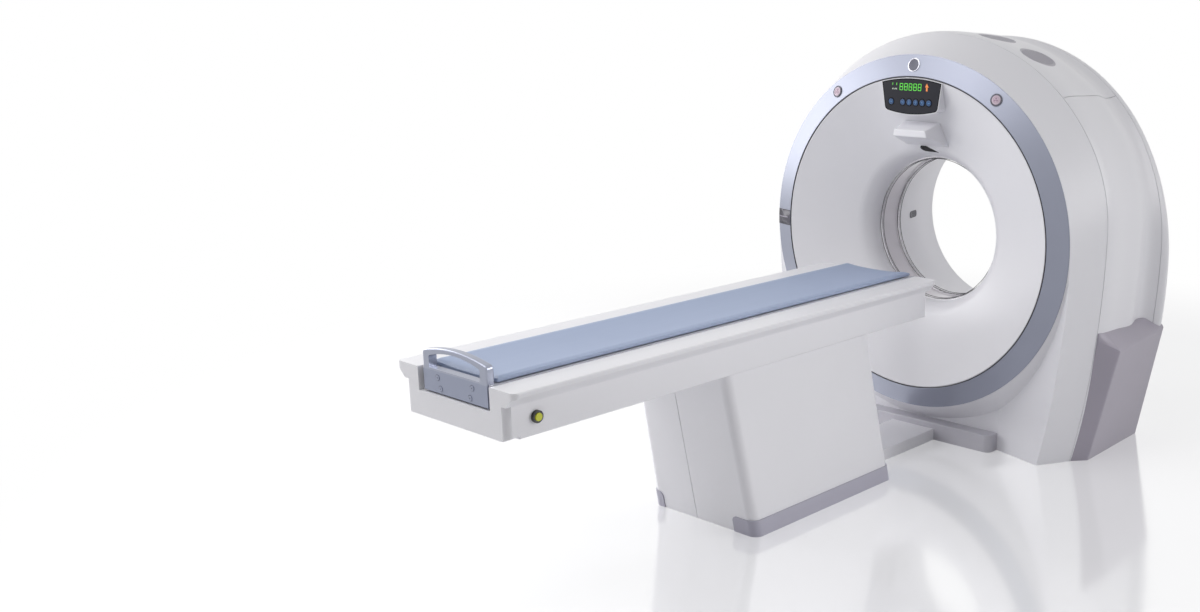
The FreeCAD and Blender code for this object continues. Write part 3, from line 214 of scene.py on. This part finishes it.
nodeFinish = {
    "coverWhite": ("front_cover", "side_cover_left", "side_cover_right", "top_cover", "rear_cover",
                   "rear_liner", "laser_housing", "display_bezel"),
    "funnelShadedWhite": ("front_funnel",),
    "tableWhite": ("pedestal_cover_left", "pedestal_cover_right", "tabletop", "foot_end_cap",
                   "lift_inner_cover", "floor_duct"),
    "ringBlue": ("ring_trim",),
    "trimChrome": ("front_window_ring", "rear_window_ring"),
    "portSteel": ("port_bezels",),
    "windowGloss": ("scan_window",),
    "footGrey": ("foot_box_left", "foot_box_right"),
    "plinthGrey": ("table_plinth",),
    "railGrey": ("foot_rail",),
    "ventGrey": ("top_vents",),
    "panelCharcoal": ("display_screen",),
    "lensBlack": ("laser_window",),
    "frameSteel": ("gantry_base_frame", "stator_frame", "cover_hoops", "table_base_plate", "lift_column",
                   "lift_carriage", "rotor_plate"),
    "raceSteel": ("bearing_outer_race", "bearing_inner_race", "cradle_rails", "motor_pulley"),
    "castAlloy": ("xray_tube", "detector_array", "hv_tanks", "drive_motor"),
    "shieldGrey": ("collimator",),
    "contactBrass": ("slip_ring",),
    "brushBlack": ("brush_block",),
    "beltRubber": ("drive_belt",),
    "cradleGrey": ("cradle_shell",),
    "padBlue": ("pad",),
    "handleAlloy": ("handle_arch",),
    "plateBlue": ("handle_plate",),
    "bezelBlack": ("button_bezel",),
    "capYellow": ("release_button",),
    "capPink": ("port_button_left", "port_button_right"),
    "keyBlue": tuple("panel_key_" + str(number) for number in range(1, 7)),
}


def setFinish(piece, *finishNames):
    piece.data.materials.clear()
    for finishName in finishNames:
        piece.data.materials.append(finishes[finishName])


for nodeLook, members in nodeFinish.items():
    for member in members:
        setFinish(nodes[member], nodeLook)

print("finishes made:", len(finishes))


# Shaping: a test picks faces or edges, and edit mode stays on for what follows

faceOn = 0.9                      # how squarely a picked face looks the asked way
mergeReach = 0.00002              # points nearer than this become one
sharpAngle = math.radians(35.0)   # edges sharper than this are rounded
smoothAngle = math.radians(40.0)  # faces that meet flatter than this are shaded as one


def dropPicks(piece, kind):
    editAll(piece)
    bpy.ops.mesh.select_mode(type=kind)
    bpy.ops.mesh.select_all(action="DESELECT")
    leaveEdit()


def pickFaces(piece, test):
    dropPicks(piece, "FACE")
    for face in piece.data.polygons:
        face.select = test(face.center, face.normal)
    bpy.ops.object.mode_set(mode="EDIT")


def facesUp(centre, normal):
    return normal.z > faceOn


def facesFront(centre, normal):
    return normal.y < -faceOn


def pickEdges(piece, test):
    dropPicks(piece, "EDGE")
    points = piece.data.vertices
    for edge in piece.data.edges:
        edge.select = test(points[edge.vertices[0]].co, points[edge.vertices[1]].co)
    bpy.ops.object.mode_set(mode="EDIT")


def pushPick(height):
    bpy.ops.mesh.extrude_region_move(TRANSFORM_OT_translate={"value": (0.0, 0.0, height)})


def paintPick(piece, slotNumber):
    piece.active_material_index = slotNumber
    bpy.ops.object.material_slot_assign()


def runModifier(piece, kind, **settings):
    makeActive(piece)
    modifier = piece.modifiers.new(kind, kind)
    for key, value in settings.items():
        setattr(modifier, key, value)
    bpy.ops.object.modifier_apply(modifier=modifier.name)


def smoothByAngle(piece):
    makeActive(piece)
    bpy.ops.object.shade_smooth_by_angle(angle=smoothAngle)


def roundEdges(piece, width, segments=2):
    runModifier(piece, "BEVEL", width=width, segments=segments, limit_method="ANGLE", angle_limit=sharpAngle)
    smoothByAngle(piece)


def startCylinder(radius, depth, corners):
    deselectAll()
    bpy.ops.mesh.primitive_cylinder_add(vertices=corners, radius=radius, depth=depth)
    return bpy.context.object


def startBlock(size):
    deselectAll()
    bpy.ops.mesh.primitive_cube_add(size=1.0)
    bpy.context.object.scale = size
    bpy.ops.object.transform_apply(location=False, rotation=False, scale=True)
    return bpy.context.object


def startHoop(radius, thickness, turns, around=8):
    deselectAll()
    bpy.ops.mesh.primitive_torus_add(major_radius=radius, minor_radius=thickness, major_segments=turns,
                                     minor_segments=around)
    return bpy.context.object


def startLippedHoop(radius, thickness, turns, lip):
    hoop = startHoop(radius, thickness, turns, around=10)
    pickFaces(hoop, facesUp)
    pushPick(lip)
    leaveEdit()
    smoothByAngle(hoop)
    return hoop


def copyPiece(piece):
    double = piece.copy()
    double.data = piece.data.copy()
    bpy.context.scene.collection.objects.link(double)
    return double


def copyNode(nodeName):
    source = nodes[nodeName]
    double = bpy.data.objects.new(nodeName + "Copy", source.data.copy())
    bpy.context.scene.collection.objects.link(double)
    editAll(double)
    bpy.ops.mesh.remove_doubles(threshold=mergeReach)
    leaveEdit()
    return double


def joinPieces(members):
    deselectAll()
    for member in members:
        member.select_set(True)
    bpy.context.view_layer.objects.active = members[0]
    bpy.ops.object.join()
    return bpy.context.object


def moveInto(piece, place, turn=(0.0, 0.0, 0.0)):
    piece.location = place
    piece.rotation_euler = turn
    makeActive(piece)
    bpy.ops.object.transform_apply(location=True, rotation=True, scale=True)


def turnTo(normal):
    return Vector(normal).to_track_quat("Z", "Y").to_euler()


def finishPiece(piece, name, body):
    piece.name = name
    piece.data.name = name + "Mesh"
    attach(piece, body)


faceForward = (math.radians(90.0), 0.0, 0.0)  # local Z looks towards the table, local Y up


# The ring's face, a shallow cone: a point on it and the way it looks

ringFace = {"outer": 0.845, "inner": 0.745, "proud": 0.030}


def ringPoint(radius, clock):
    rise = ringFace["proud"] * (ringFace["outer"] - radius) / (ringFace["outer"] - ringFace["inner"])
    return Vector((radius * math.sin(clock), frontDepth - rise, axisHeight + radius * math.cos(clock)))


def ringNormal(clock):
    lean = math.atan2(ringFace["proud"], ringFace["outer"] - ringFace["inner"])
    out = math.sin(lean)
    return Vector((out * math.sin(clock), -math.cos(lean), out * math.cos(clock)))


# Blank round badge at the top of the ring

badge = {"radius": 0.032, "height": 0.0042, "sunk": 0.0008, "rim": 0.0042, "dish": 0.0012, "slope": 0.00672,
         "rise": 0.00072, "edge": 0.0004, "ringRadius": 0.797}


def makeBadge():
    disc = startCylinder(badge["radius"], badge["height"], corners=64)
    setFinish(disc, "badgeSilver", "badgeSlate")
    pickFaces(disc, facesUp)
    bpy.ops.mesh.inset(thickness=badge["rim"])
    pushPick(-badge["dish"])
    paintPick(disc, 1)
    bpy.ops.mesh.inset(thickness=badge["slope"], depth=badge["rise"])
    leaveEdit()
    roundEdges(disc, badge["edge"])
    seat = ringPoint(badge["ringRadius"], 0.0) + ringNormal(0.0) * (badge["height"] / 2.0 - badge["sunk"])
    moveInto(disc, seat, turnTo(ringNormal(0.0)))
    finishPiece(disc, "roundBadge", "root")


# Bare dark plate across the ring at nine o'clock, cut from the ring's own surface between two heights above
# the floor, with a bright line on it

sidePlate = {"low": 0.985, "high": 1.063, "inner": -0.0001, "thick": 0.0014,
             "lineLow": 1.021, "lineHigh": 1.027, "lineInner": -0.7641, "lineThick": 0.0018,
             "clock": math.radians(-90.0), "facing": 0.97}


def cutRingBand(low, high, inner, thick, finishName):
    band = copyNode("ring_trim")
    setFinish(band, finishName)
    cuts = (((0.0, 0.0, low), (0.0, 0.0, 1.0)), ((0.0, 0.0, high), (0.0, 0.0, -1.0)),
            ((inner, 0.0, 0.0), (-1.0, 0.0, 0.0)))
    for place, normal in cuts:
        editAll(band)
        bpy.ops.mesh.bisect(plane_co=place, plane_no=normal, clear_inner=True)
        leaveEdit()
    front = ringNormal(sidePlate["clock"])
    pickFaces(band, lambda centre, normal: normal.dot(front) < sidePlate["facing"])
    bpy.ops.mesh.delete(type="FACE")
    leaveEdit()
    runModifier(band, "SOLIDIFY", thickness=thick, offset=1.0)
    return band


def makeSidePlate():
    plate = cutRingBand(sidePlate["low"], sidePlate["high"], sidePlate["inner"],
                        sidePlate["thick"], "plateDark")
    line = cutRingBand(sidePlate["lineLow"], sidePlate["lineHigh"], sidePlate["lineInner"],
                       sidePlate["lineThick"], "plateLine")
    whole = joinPieces([plate, line])
    finishPiece(whole, "namePlate", "root")


# Dark seal between the ring and the dish, and the dark gaskets beside both window rings

seals = {"ringRadius": 0.7435, "ringThick": 0.0021, "ringTurns": 256, "ringLip": 0.0006, "ringDepth": -0.3222,
         "gasketRadius": 0.3453, "gasketThick": 0.0014, "gasketTurns": 192, "gasketLip": 0.0004,
         "gasketDepths": (-0.0826, -0.0600, 0.0600, 0.0826)}


def makeSeals():
    hoop = startLippedHoop(seals["ringRadius"], seals["ringThick"], seals["ringTurns"], seals["ringLip"])
    setFinish(hoop, "sealBlack")
    moveInto(hoop, (0.0, seals["ringDepth"], axisHeight), faceForward)
    finishPiece(hoop, "ringSeal", "root")
    gaskets = []
    for depth in seals["gasketDepths"]:
        gasket = startLippedHoop(seals["gasketRadius"], seals["gasketThick"], seals["gasketTurns"],
                                 seals["gasketLip"])
        setFinish(gasket, "sealBlack")
        moveInto(gasket, (0.0, depth, axisHeight), faceForward)
        gaskets.append(gasket)
    finishPiece(joinPieces(gaskets), "windowGaskets", "root")


# Microphone port in the liner's left wall

micPort = {"size": (0.084, 0.035, 0.005), "corner": 0.013, "rim": 0.0042, "sunk": 0.0022, "dish": 0.0012,
           "edge": 0.0004, "hole": 0.0011, "holeRim": 0.00033, "holeHigh": 0.0006, "holeDish": 0.0002,
           "pitch": 0.0048, "rows": 2, "columns": 5, "depth": 0.255, "height": 1.012}


def makeMicHole(row, column):
    hole = startCylinder(micPort["hole"], micPort["holeHigh"], corners=12)
    setFinish(hole, "sealBlack")
    pickFaces(hole, facesUp)
    bpy.ops.mesh.inset(thickness=micPort["holeRim"], depth=-micPort["holeDish"])
    leaveEdit()
    floor = micPort["size"][2] / 2.0 - micPort["dish"]
    moveInto(hole, (column * micPort["pitch"], row * micPort["pitch"], floor))
    return hole


def makeMicPort():
    block = startBlock(micPort["size"])
    setFinish(block, "plateDark", "shieldGrey")
    pickEdges(block, lambda a, b: abs(a.z - b.z) > micPort["size"][2] / 2.0)   # the four upright ones
    bpy.ops.mesh.bevel(offset=micPort["corner"], segments=6)
    leaveEdit()
    pickFaces(block, facesUp)
    bpy.ops.mesh.inset(thickness=micPort["rim"])
    paintPick(block, 1)
    pushPick(-micPort["dish"])
    leaveEdit()
    roundEdges(block, micPort["edge"])
    holes = [block]
    for row in range(-micPort["rows"], micPort["rows"] + 1):
        reach = micPort["columns"] - abs(row)   # fewer holes in the outer rows
        holes += [makeMicHole(row, column) for column in range(-reach, reach + 1)]
    whole = joinPieces(holes)
    start = Vector((0.0, micPort["depth"], micPort["height"]))   # the port sits where the wall is met from here
    hit, seat, normal, face = nodes["rear_liner"].ray_cast(start, Vector((-1.0, 0.0, 0.0)))
    moveInto(whole, seat + normal * (micPort["size"][2] / 2.0 - micPort["sunk"]), turnTo(normal))
    finishPiece(whole, "micPort", "root")


# Laser lens in the throat's ceiling: a black teardrop on a flush white surround

lens = {"half": 0.0485, "tall": 0.0105, "depth": -0.164, "blunt": 0.0135, "tip": 0.0006, "tilt": 0.14,
        "taper": 0.75, "surroundWide": 1.04, "surroundTall": 0.8208, "surroundProud": 0.0003,
        "lensProud": 0.0009, "thick": 0.0012, "rings": 3, "ceiling": 0.390}   # ceiling: above the bore's axis


def makeThroatPatch(finishName, proud, shape):
    deselectAll()
    bpy.ops.mesh.primitive_circle_add(vertices=48, radius=1.0, fill_type="TRIFAN")
    patch = bpy.context.object
    setFinish(patch, finishName)
    editAll(patch)
    bpy.ops.mesh.subdivide(number_cuts=lens["rings"])
    leaveEdit()
    for point in patch.data.vertices:   # each point goes outward from the bore's axis until it meets the throat
        across, along = shape(point.co.x, point.co.y)
        start = Vector((0.0, lens["depth"] + along, axisHeight))
        reach = Vector((across, 0.0, lens["ceiling"])).normalized()
        hits = [nodes[carrier].ray_cast(start, reach) for carrier in ("front_funnel", "laser_window")]
        found = [(seat - start).length for hit, seat, normal, face in hits if hit]
        point.co = start + reach * (min(found) - proud)
    runModifier(patch, "SOLIDIFY", thickness=lens["thick"], offset=0.0)
    return patch


def surroundShape(x, y):
    return x * lens["half"] * lens["surroundWide"], y * lens["tall"] * lens["surroundTall"]


def teardropShape(x, y):
    share = (x + 1.0) / 2.0
    tall = lens["blunt"] * (1.0 - share) ** lens["taper"] + lens["tip"]
    return x * lens["half"], y * tall + lens["tilt"] * x * lens["half"]


def makeLens():
    # The surround takes the dish's darkened white, with its painted shade
    surround = makeThroatPatch("funnelShadedWhite", lens["surroundProud"], surroundShape)
    drop = makeThroatPatch("lensBlack", lens["lensProud"], teardropShape)
    whole = joinPieces([surround, drop])
    editAll(whole)
    bpy.ops.mesh.normals_make_consistent(inside=False)
    leaveEdit()
    smoothByAngle(whole)
    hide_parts("laser_window")
    finishPiece(whole, "laserLens", "root")


# Display: dark edge band round the face, digits, marks and key symbols

display = {"edge": 0.0042, "digits": 5, "firstDigit": -0.0570, "pitch": 0.0260, "height": 0.0325,
           "width": 0.0190, "stroke": 0.0030, "gap": 0.0012, "lean": 0.06, "middle": 1.7130, "deep": 0.0006}


def makeDisplayFace():
    face = copyNode("display_screen")
    setFinish(face, "displayEdge", "panelCharcoal")
    pickFaces(face, facesFront)
    bpy.ops.mesh.inset(thickness=display["edge"], use_boundary=True)
    paintPick(face, 1)
    leaveEdit()
    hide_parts("display_screen")
    finishPiece(face, "displayFace", "root")


def makeStroke(length, thick, finishName):
    stroke = startCylinder(thick / 2.0, display["deep"], corners=6)
    setFinish(stroke, finishName)
    for side in (-1.0, 1.0):
        pickEdges(stroke, lambda a, b: a.y * side > 0.0 and b.y * side > 0.0)
        bpy.ops.transform.translate(value=(0.0, side * (length - thick) / 2.0, 0.0))
        leaveEdit()
    return stroke


def placeStroke(stroke, x, z, turn):
    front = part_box("display_screen")[0].y - display["deep"] / 2.0
    moveInto(stroke, (0.0, 0.0, 0.0), (0.0, 0.0, turn))
    moveInto(stroke, (x, front, z), faceForward)
    return stroke


def makeDigits():
    half = display["height"] / 2.0
    rise = half - display["stroke"] / 2.0
    aside = (display["width"] - display["stroke"]) / 2.0
    strokes = []
    for digit in range(display["digits"]):
        centre = display["firstDigit"] + digit * display["pitch"]
        for level in (-1.0, 0.0, 1.0):
            flat = makeStroke(display["width"] - display["stroke"], display["stroke"], "digitGreen")
            strokes.append(placeStroke(flat, centre + display["lean"] * half * level,
                                       display["middle"] + level * rise, math.radians(90.0)))
        for side in (-1.0, 1.0):
            for level in (-0.5, 0.5):
                upright = makeStroke(half - display["gap"], display["stroke"], "digitGreen")
                strokes.append(placeStroke(upright, centre + side * aside + display["lean"] * half * level,
                                           display["middle"] + level * rise, -display["lean"]))
    finishPiece(joinPieces(strokes), "displayDigits", "root")


displayMarks = {"left": -0.107, "right": -0.084, "upper": 1.7245, "lower": 1.7025, "tick": 0.012,
                "tickLean": 0.12, "dashes": 4, "dashRow": 0.022, "dashThick": 0.0027, "dashLean": 0.35,
                "arrowX": 0.0875, "arrowHigh": 1.7200, "arrowSize": 0.0115, "stem": 0.016, "stemWide": 0.009,
                "stemDrop": 0.015125}


def makeMarks():
    left, right = displayMarks["left"], displayMarks["right"]
    marks = []
    for x in (left, right):
        tick = makeStroke(displayMarks["tick"], display["stroke"], "digitGreen")
        marks.append(placeStroke(tick, x, displayMarks["upper"], -displayMarks["tickLean"]))
    gaps = displayMarks["dashes"] - 1
    for step in range(displayMarks["dashes"]):
        dash = makeStroke(displayMarks["dashRow"] / gaps, displayMarks["dashThick"], "markWhite")
        lean = displayMarks["dashLean"] if step % 2 else -displayMarks["dashLean"]
        marks.append(placeStroke(dash, left + (right - left) * step / gaps, displayMarks["lower"], lean))
    head = startCylinder(displayMarks["arrowSize"], display["deep"], corners=3)
    setFinish(head, "markOrange")
    marks.append(placeStroke(head, displayMarks["arrowX"], displayMarks["arrowHigh"], 0.0))
    stem = startBlock((displayMarks["stemWide"], displayMarks["stem"], display["deep"]))
    setFinish(stem, "markOrange")
    stemHigh = displayMarks["arrowHigh"] - displayMarks["stemDrop"]
    marks.append(placeStroke(stem, displayMarks["arrowX"], stemHigh, 0.0))
    finishPiece(joinPieces(marks), "displayMarks", "root")


keySymbol = {"arrow": 0.0062, "arrowUp": 0.0015, "bar": (0.0088, 0.0022), "barDown": 0.0055, "ring": 0.0098,
             "ringThick": 0.0007, "deep": 0.0005, "proud": 0.00015,
             "turns": (-90.0, 90.0, 0.0, 180.0, 45.0, -90.0)}   # in degrees, key by key


def makeKeySymbols():
    for number, turn in enumerate(keySymbol["turns"], start=1):
        low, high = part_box("panel_key_" + str(number))
        front = low.y - keySymbol["proud"]
        arrow = startCylinder(keySymbol["arrow"], keySymbol["deep"], corners=3)
        moveInto(arrow, (0.0, keySymbol["arrowUp"], 0.0))
        bar = startBlock((*keySymbol["bar"], keySymbol["deep"]))
        moveInto(bar, (0.0, -keySymbol["barDown"], 0.0))
        hoop = startHoop(keySymbol["ring"], keySymbol["ringThick"], turns=40)
        whole = joinPieces([arrow, bar, hoop])
        setFinish(whole, "symbolBlue")
        moveInto(whole, (0.0, 0.0, 0.0), (0.0, 0.0, math.radians(turn)))
        moveInto(whole, ((low.x + high.x) / 2.0, front, (low.z + high.z) / 2.0), faceForward)
        finishPiece(whole, "keySymbol" + str(number), "key_" + str(number))


# Marks on the two round buttons of the ring, and the dark steel rim round each; the clock is in degrees from
# the top

portMark = {"radius": 0.797, "clock": 34.5, "rimRadius": 0.0272, "rimThick": 0.0013, "rimHigh": 0.0024,
            "rimLip": 0.0004, "markHigh": 0.0053, "ring": 0.0135, "ringThick": 0.0007, "dots": 3, "dot": 0.0042,
            "dotRim": 0.00147, "dotCrown": 0.0002, "dotRing": 0.0062, "deep": 0.0006}


def makePortMarks():
    for side, word in ((-1, "Left"), (1, "Right")):
        clock = math.radians(portMark["clock"]) * side
        seat = ringPoint(portMark["radius"], clock)
        normal = ringNormal(clock)
        rim = startLippedHoop(portMark["rimRadius"], portMark["rimThick"], turns=64, lip=portMark["rimLip"])
        setFinish(rim, "portSteel")
        moveInto(rim, seat + normal * portMark["rimHigh"], turnTo(normal))
        finishPiece(rim, "portRim" + word, "root")
        marks = [startHoop(portMark["ring"], portMark["ringThick"], turns=48)]   # a ring with dots in it
        for step in range(portMark["dots"]):
            dot = startCylinder(portMark["dot"], portMark["deep"], corners=20)
            pickFaces(dot, facesUp)
            bpy.ops.mesh.inset(thickness=portMark["dotRim"], depth=portMark["dotCrown"])
            leaveEdit()
            angle = math.radians(90.0 + 360.0 * step / portMark["dots"])
            moveInto(dot, (portMark["dotRing"] * math.cos(angle), portMark["dotRing"] * math.sin(angle), 0.0))
            marks.append(dot)
        whole = joinPieces(marks)
        setFinish(whole, "markMauve")
        moveInto(whole, seat + normal * portMark["markHigh"], turnTo(normal))
        finishPiece(whole, "portMark" + word, "port_" + word.lower())


# Four button-head screws in the handle's plate; each socket is painted near-black, and a dark ring set off to
# one side of each head shows as a crescent: painted shade in the socket and painted shadow of the pocket the
# screw sits in

plateScrew = {"radius": 0.0098, "height": 0.0024, "edge": 0.0006, "socket": 0.0026, "socketDeep": 0.0008,
              "shadeRing": 0.0102, "shadeRingThick": 0.0012, "shadeRingShift": -0.0014, "sunk": 0.0004,
              "places": ((-0.097, 0.855), (-0.083, 0.818), (0.097, 0.855), (0.083, 0.818))}


def makePlateScrews():
    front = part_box("handle_plate")[0].y - plateScrew["height"] / 2.0 + plateScrew["sunk"]
    screw = startCylinder(plateScrew["radius"], plateScrew["height"], corners=32)
    # The socket's floor is painted near-black: painted shade in the recess
    setFinish(screw, "plateBlue", "recessShade")
    pickFaces(screw, facesUp)
    bpy.ops.mesh.inset(thickness=plateScrew["radius"] - plateScrew["socket"])
    pushPick(-plateScrew["socketDeep"])
    paintPick(screw, 1)
    leaveEdit()
    roundEdges(screw, plateScrew["edge"], segments=3)
    # Dark ring shifted sideways so that only a crescent shows beside the head: painted shadow of a pocket that
    # is not modelled
    shadeRing = startHoop(plateScrew["shadeRing"], plateScrew["shadeRingThick"], turns=40)
    setFinish(shadeRing, "recessShade")
    moveInto(shadeRing, (plateScrew["shadeRingShift"], 0.0, -plateScrew["height"] / 2.0))
    screw = joinPieces([screw, shadeRing])
    screws = []
    for x, z in plateScrew["places"]:
        double = copyPiece(screw)
        moveInto(double, (x, front, z), faceForward)
        screws.append(double)
    bpy.data.objects.remove(screw)
    finishPiece(joinPieces(screws), "plateScrews", "cradle")


# Patient pad: a foam mattress in blue vinyl, swollen by a cloth simulation from a slightly smaller shape

padShape = {"shrink": 0.0035, "voxel": 0.006, "pressure": 4.0, "frames": 20,
            "topCap": 0.0052, "underCap": 0.0032, "underNormal": -0.4}


def swellPad(cushion):
    scene = bpy.context.scene
    start = [point.co.copy() for point in cushion.data.vertices]
    facing = [point.normal.copy() for point in cushion.data.vertices]
    cloth = cushion.modifiers.new("Swell", "CLOTH")
    cloth.settings.use_pressure = True
    cloth.settings.uniform_pressure_force = padShape["pressure"]
    cloth.settings.effector_weights.gravity = 0.0
    cloth.point_cache.frame_start = 1
    cloth.point_cache.frame_end = padShape["frames"]
    for number in range(1, padShape["frames"] + 1):
        scene.frame_set(number)
    swollen = cushion.evaluated_get(bpy.context.evaluated_depsgraph_get()).data
    for point, first, normal, last in zip(cushion.data.vertices, start, facing, swollen.vertices):
        move = last.co - first
        cap = padShape["underCap"] if normal.z < padShape["underNormal"] else padShape["topCap"]
        if move.length > cap:
            move *= cap / move.length
        point.co = first + move
    cushion.modifiers.remove(cloth)
    scene.frame_set(1)
    print("pad swollen:", len(start), "points")


def makePad():
    cushion = copyNode("pad")
    setFinish(cushion, "padBlue")
    runModifier(cushion, "REMESH", mode="VOXEL", voxel_size=padShape["voxel"])
    editAll(cushion)
    bpy.ops.transform.shrink_fatten(value=-padShape["shrink"])
    leaveEdit()
    swellPad(cushion)
    runModifier(cushion, "SUBSURF", levels=1, render_levels=1)
    makeActive(cushion)
    bpy.ops.object.shade_smooth()
    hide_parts("pad")
    finishPiece(cushion, "padCushion", "cradle")


makeBadge()
makeSidePlate()
makeSeals()
makeMicPort()
makeLens()
print("ring and bore details made")
makeDisplayFace()
makeDigits()
makeMarks()
makeKeySymbols()
makePortMarks()
print("display and buttons made")
makePlateScrews()
makePad()
print("table details made")


# Floor, light and camera

studio = {"floorSize": 60.0, "floorColour": (0.55, 0.55, 0.57), "floorGlow": 0.52, "mirrorRough": 0.11,
          "mirrorShare": (0.12, 0.62), "fade": (2.4, 4.4), "worldColour": (1.0, 1.0, 1.0),
          "worldLight": (0.275, 1.0)}
fullWhite = (1.0, 1.0, 1.0, 1.0)


def addMath(tree, operation, first, second):
    step = addNode(tree, "ShaderNodeMath", operation=operation)
    tree.links.new(first, step.inputs[0])
    tree.links.new(second, step.inputs[1])
    return step.outputs["Value"]


def addMix(tree, share, first, second):
    mix = addNode(tree, "ShaderNodeMixShader")
    tree.links.new(share, mix.inputs["Fac"])
    tree.links.new(first, mix.inputs[1])
    tree.links.new(second, mix.inputs[2])
    return mix.outputs["Shader"]


def addGlow(tree, strength):
    glow = addNode(tree, "ShaderNodeEmission", Color=fullWhite)
    tree.links.new(strength, glow.inputs["Strength"])
    return glow.outputs["Emission"]


def seenRays(tree, *kinds):
    paths = addNode(tree, "ShaderNodeLightPath")
    seen = paths.outputs[kinds[0]]
    for kind in kinds[1:]:
        seen = addMath(tree, "MAXIMUM", seen, paths.outputs[kind])
    return seen


def paintFloor():
    paint = bpy.data.materials.new("floorWhite")
    paint.use_nodes = True
    tree = paint.node_tree
    link = tree.links.new
    tree.nodes.remove(tree.nodes["Principled BSDF"])
    seen = seenRays(tree, "Is Camera Ray", "Is Glossy Ray")
    matt = addNode(tree, "ShaderNodeBsdfDiffuse", Color=(*studio["floorColour"], 1.0))
    strength = addNode(tree, "ShaderNodeMapRange")
    strength.inputs["To Max"].default_value = studio["floorGlow"]
    link(seen, strength.inputs["Value"])
    body = addNode(tree, "ShaderNodeAddShader")
    link(matt.outputs["BSDF"], body.inputs[0])
    link(addGlow(tree, strength.outputs["Result"]), body.inputs[1])
    mirror = addNode(tree, "ShaderNodeBsdfAnisotropic", Roughness=studio["mirrorRough"], Color=fullWhite)
    grazing = addNode(tree, "ShaderNodeLayerWeight")
    share = addNode(tree, "ShaderNodeMapRange")
    share.inputs["To Min"].default_value, share.inputs["To Max"].default_value = studio["mirrorShare"]
    link(grazing.outputs["Facing"], share.inputs["Value"])
    polished = addMix(tree, share.outputs["Result"], body.outputs["Shader"], mirror.outputs["BSDF"])
    place = addNode(tree, "ShaderNodeTexCoord")
    reach = addNode(tree, "ShaderNodeVectorMath", operation="LENGTH")
    link(place.outputs["Object"], reach.inputs[0])
    fade = addNode(tree, "ShaderNodeMapRange", interpolation_type="SMOOTHSTEP")
    fade.inputs["From Min"].default_value, fade.inputs["From Max"].default_value = studio["fade"]
    link(reach.outputs["Value"], fade.inputs["Value"])
    # Only seen rays fade, so that bounced light still meets the matt floor
    fadeSeen = addMath(tree, "MULTIPLY", fade.outputs["Result"], seen)
    far = addMix(tree, fadeSeen, polished, addGlow(tree, seen))
    link(far, tree.nodes["Material Output"].inputs["Surface"])
    return paint


def makeFloor():
    deselectAll()
    bpy.ops.mesh.primitive_plane_add(size=studio["floorSize"], location=(0.0, 0.0, 0.0))
    floor = bpy.context.object
    floor.name = "studioFloor"
    floor.data.materials.append(paintFloor())


def makeWorld():
    world = bpy.data.worlds.new("studioWorld")
    bpy.context.scene.world = world
    world.use_nodes = True
    tree = world.node_tree
    back = tree.nodes["Background"]
    back.inputs["Color"].default_value = (*studio["worldColour"], 1.0)
    level = addNode(tree, "ShaderNodeMapRange")
    level.inputs["To Min"].default_value, level.inputs["To Max"].default_value = studio["worldLight"]
    seen = seenRays(tree, "Is Camera Ray", "Is Glossy Ray", "Is Transmission Ray")
    tree.links.new(seen, level.inputs["Value"])
    tree.links.new(level.outputs["Result"], back.inputs["Strength"])


def addLamp(name, setting):
    deselectAll()
    bpy.ops.object.light_add(type="AREA", location=setting["place"])
    lamp = bpy.context.object
    lamp.name = name
    lamp.data.shape = "RECTANGLE"
    lamp.data.size, lamp.data.size_y = setting["size"]
    lamp.data.energy = setting["power"]
    lamp.data.spread = math.radians(setting["spread"])
    aim = Vector(setting["target"]) - Vector(setting["place"])
    lamp.rotation_euler = aim.to_track_quat("-Z", "Y").to_euler()
    lamp.visible_camera = False


lamps = {
    "leftKey": {"place": (-4.3, -2.3, 2.35), "target": (-0.4, -0.3, 1.4), "size": (4.2, 2.8), "power": 120.0,
                "spread": 180.0},
    "topSoft": {"place": (-0.9, -4.0, 4.9), "target": (-0.1, -1.0, 0.9), "size": (4.5, 3.5), "power": 100.0,
                "spread": 180.0},
    "rightFill": {"place": (4.6, 2.6, 3.1), "target": (0.5, 0.1, 0.9), "size": (3.0, 3.0), "power": 57.0,
                  "spread": 180.0},
    "tableSide": {"place": (4.6, 0.8, 2.2), "target": (0.3, -2.0, 0.8), "size": (2.0, 2.0), "power": 7.0,
                  "spread": 50.0},
    "frontSoft": {"place": (-2.0, -6.0, 4.2), "target": (0.0, -2.6, 0.8), "size": (2.5, 2.5), "power": 9.0,
                  "spread": 80.0},
}

makeFloor()
makeWorld()
for lampName, lampSetting in lamps.items():
    addLamp(lampName, lampSetting)

viewpoint = {"place": (3.613, -5.364, 2.084), "yaw": 40.6, "pitch": 14.4, "lens": 39.3, "sensor": 36.0,
             "shift": (-0.1633, 0.029)}


def makeCamera():
    deselectAll()
    bpy.ops.object.camera_add(location=viewpoint["place"])
    camera = bpy.context.object
    camera.name = "photoCamera"
    camera.rotation_euler = (math.radians(90.0 - viewpoint["pitch"]), 0.0, math.radians(viewpoint["yaw"]))
    camera.data.lens = viewpoint["lens"]
    camera.data.sensor_width = viewpoint["sensor"]
    camera.data.shift_x, camera.data.shift_y = viewpoint["shift"]
    bpy.context.scene.camera = camera
    bpy.context.scene.view_settings.view_transform = "Standard"


makeCamera()
print("studio and camera set")
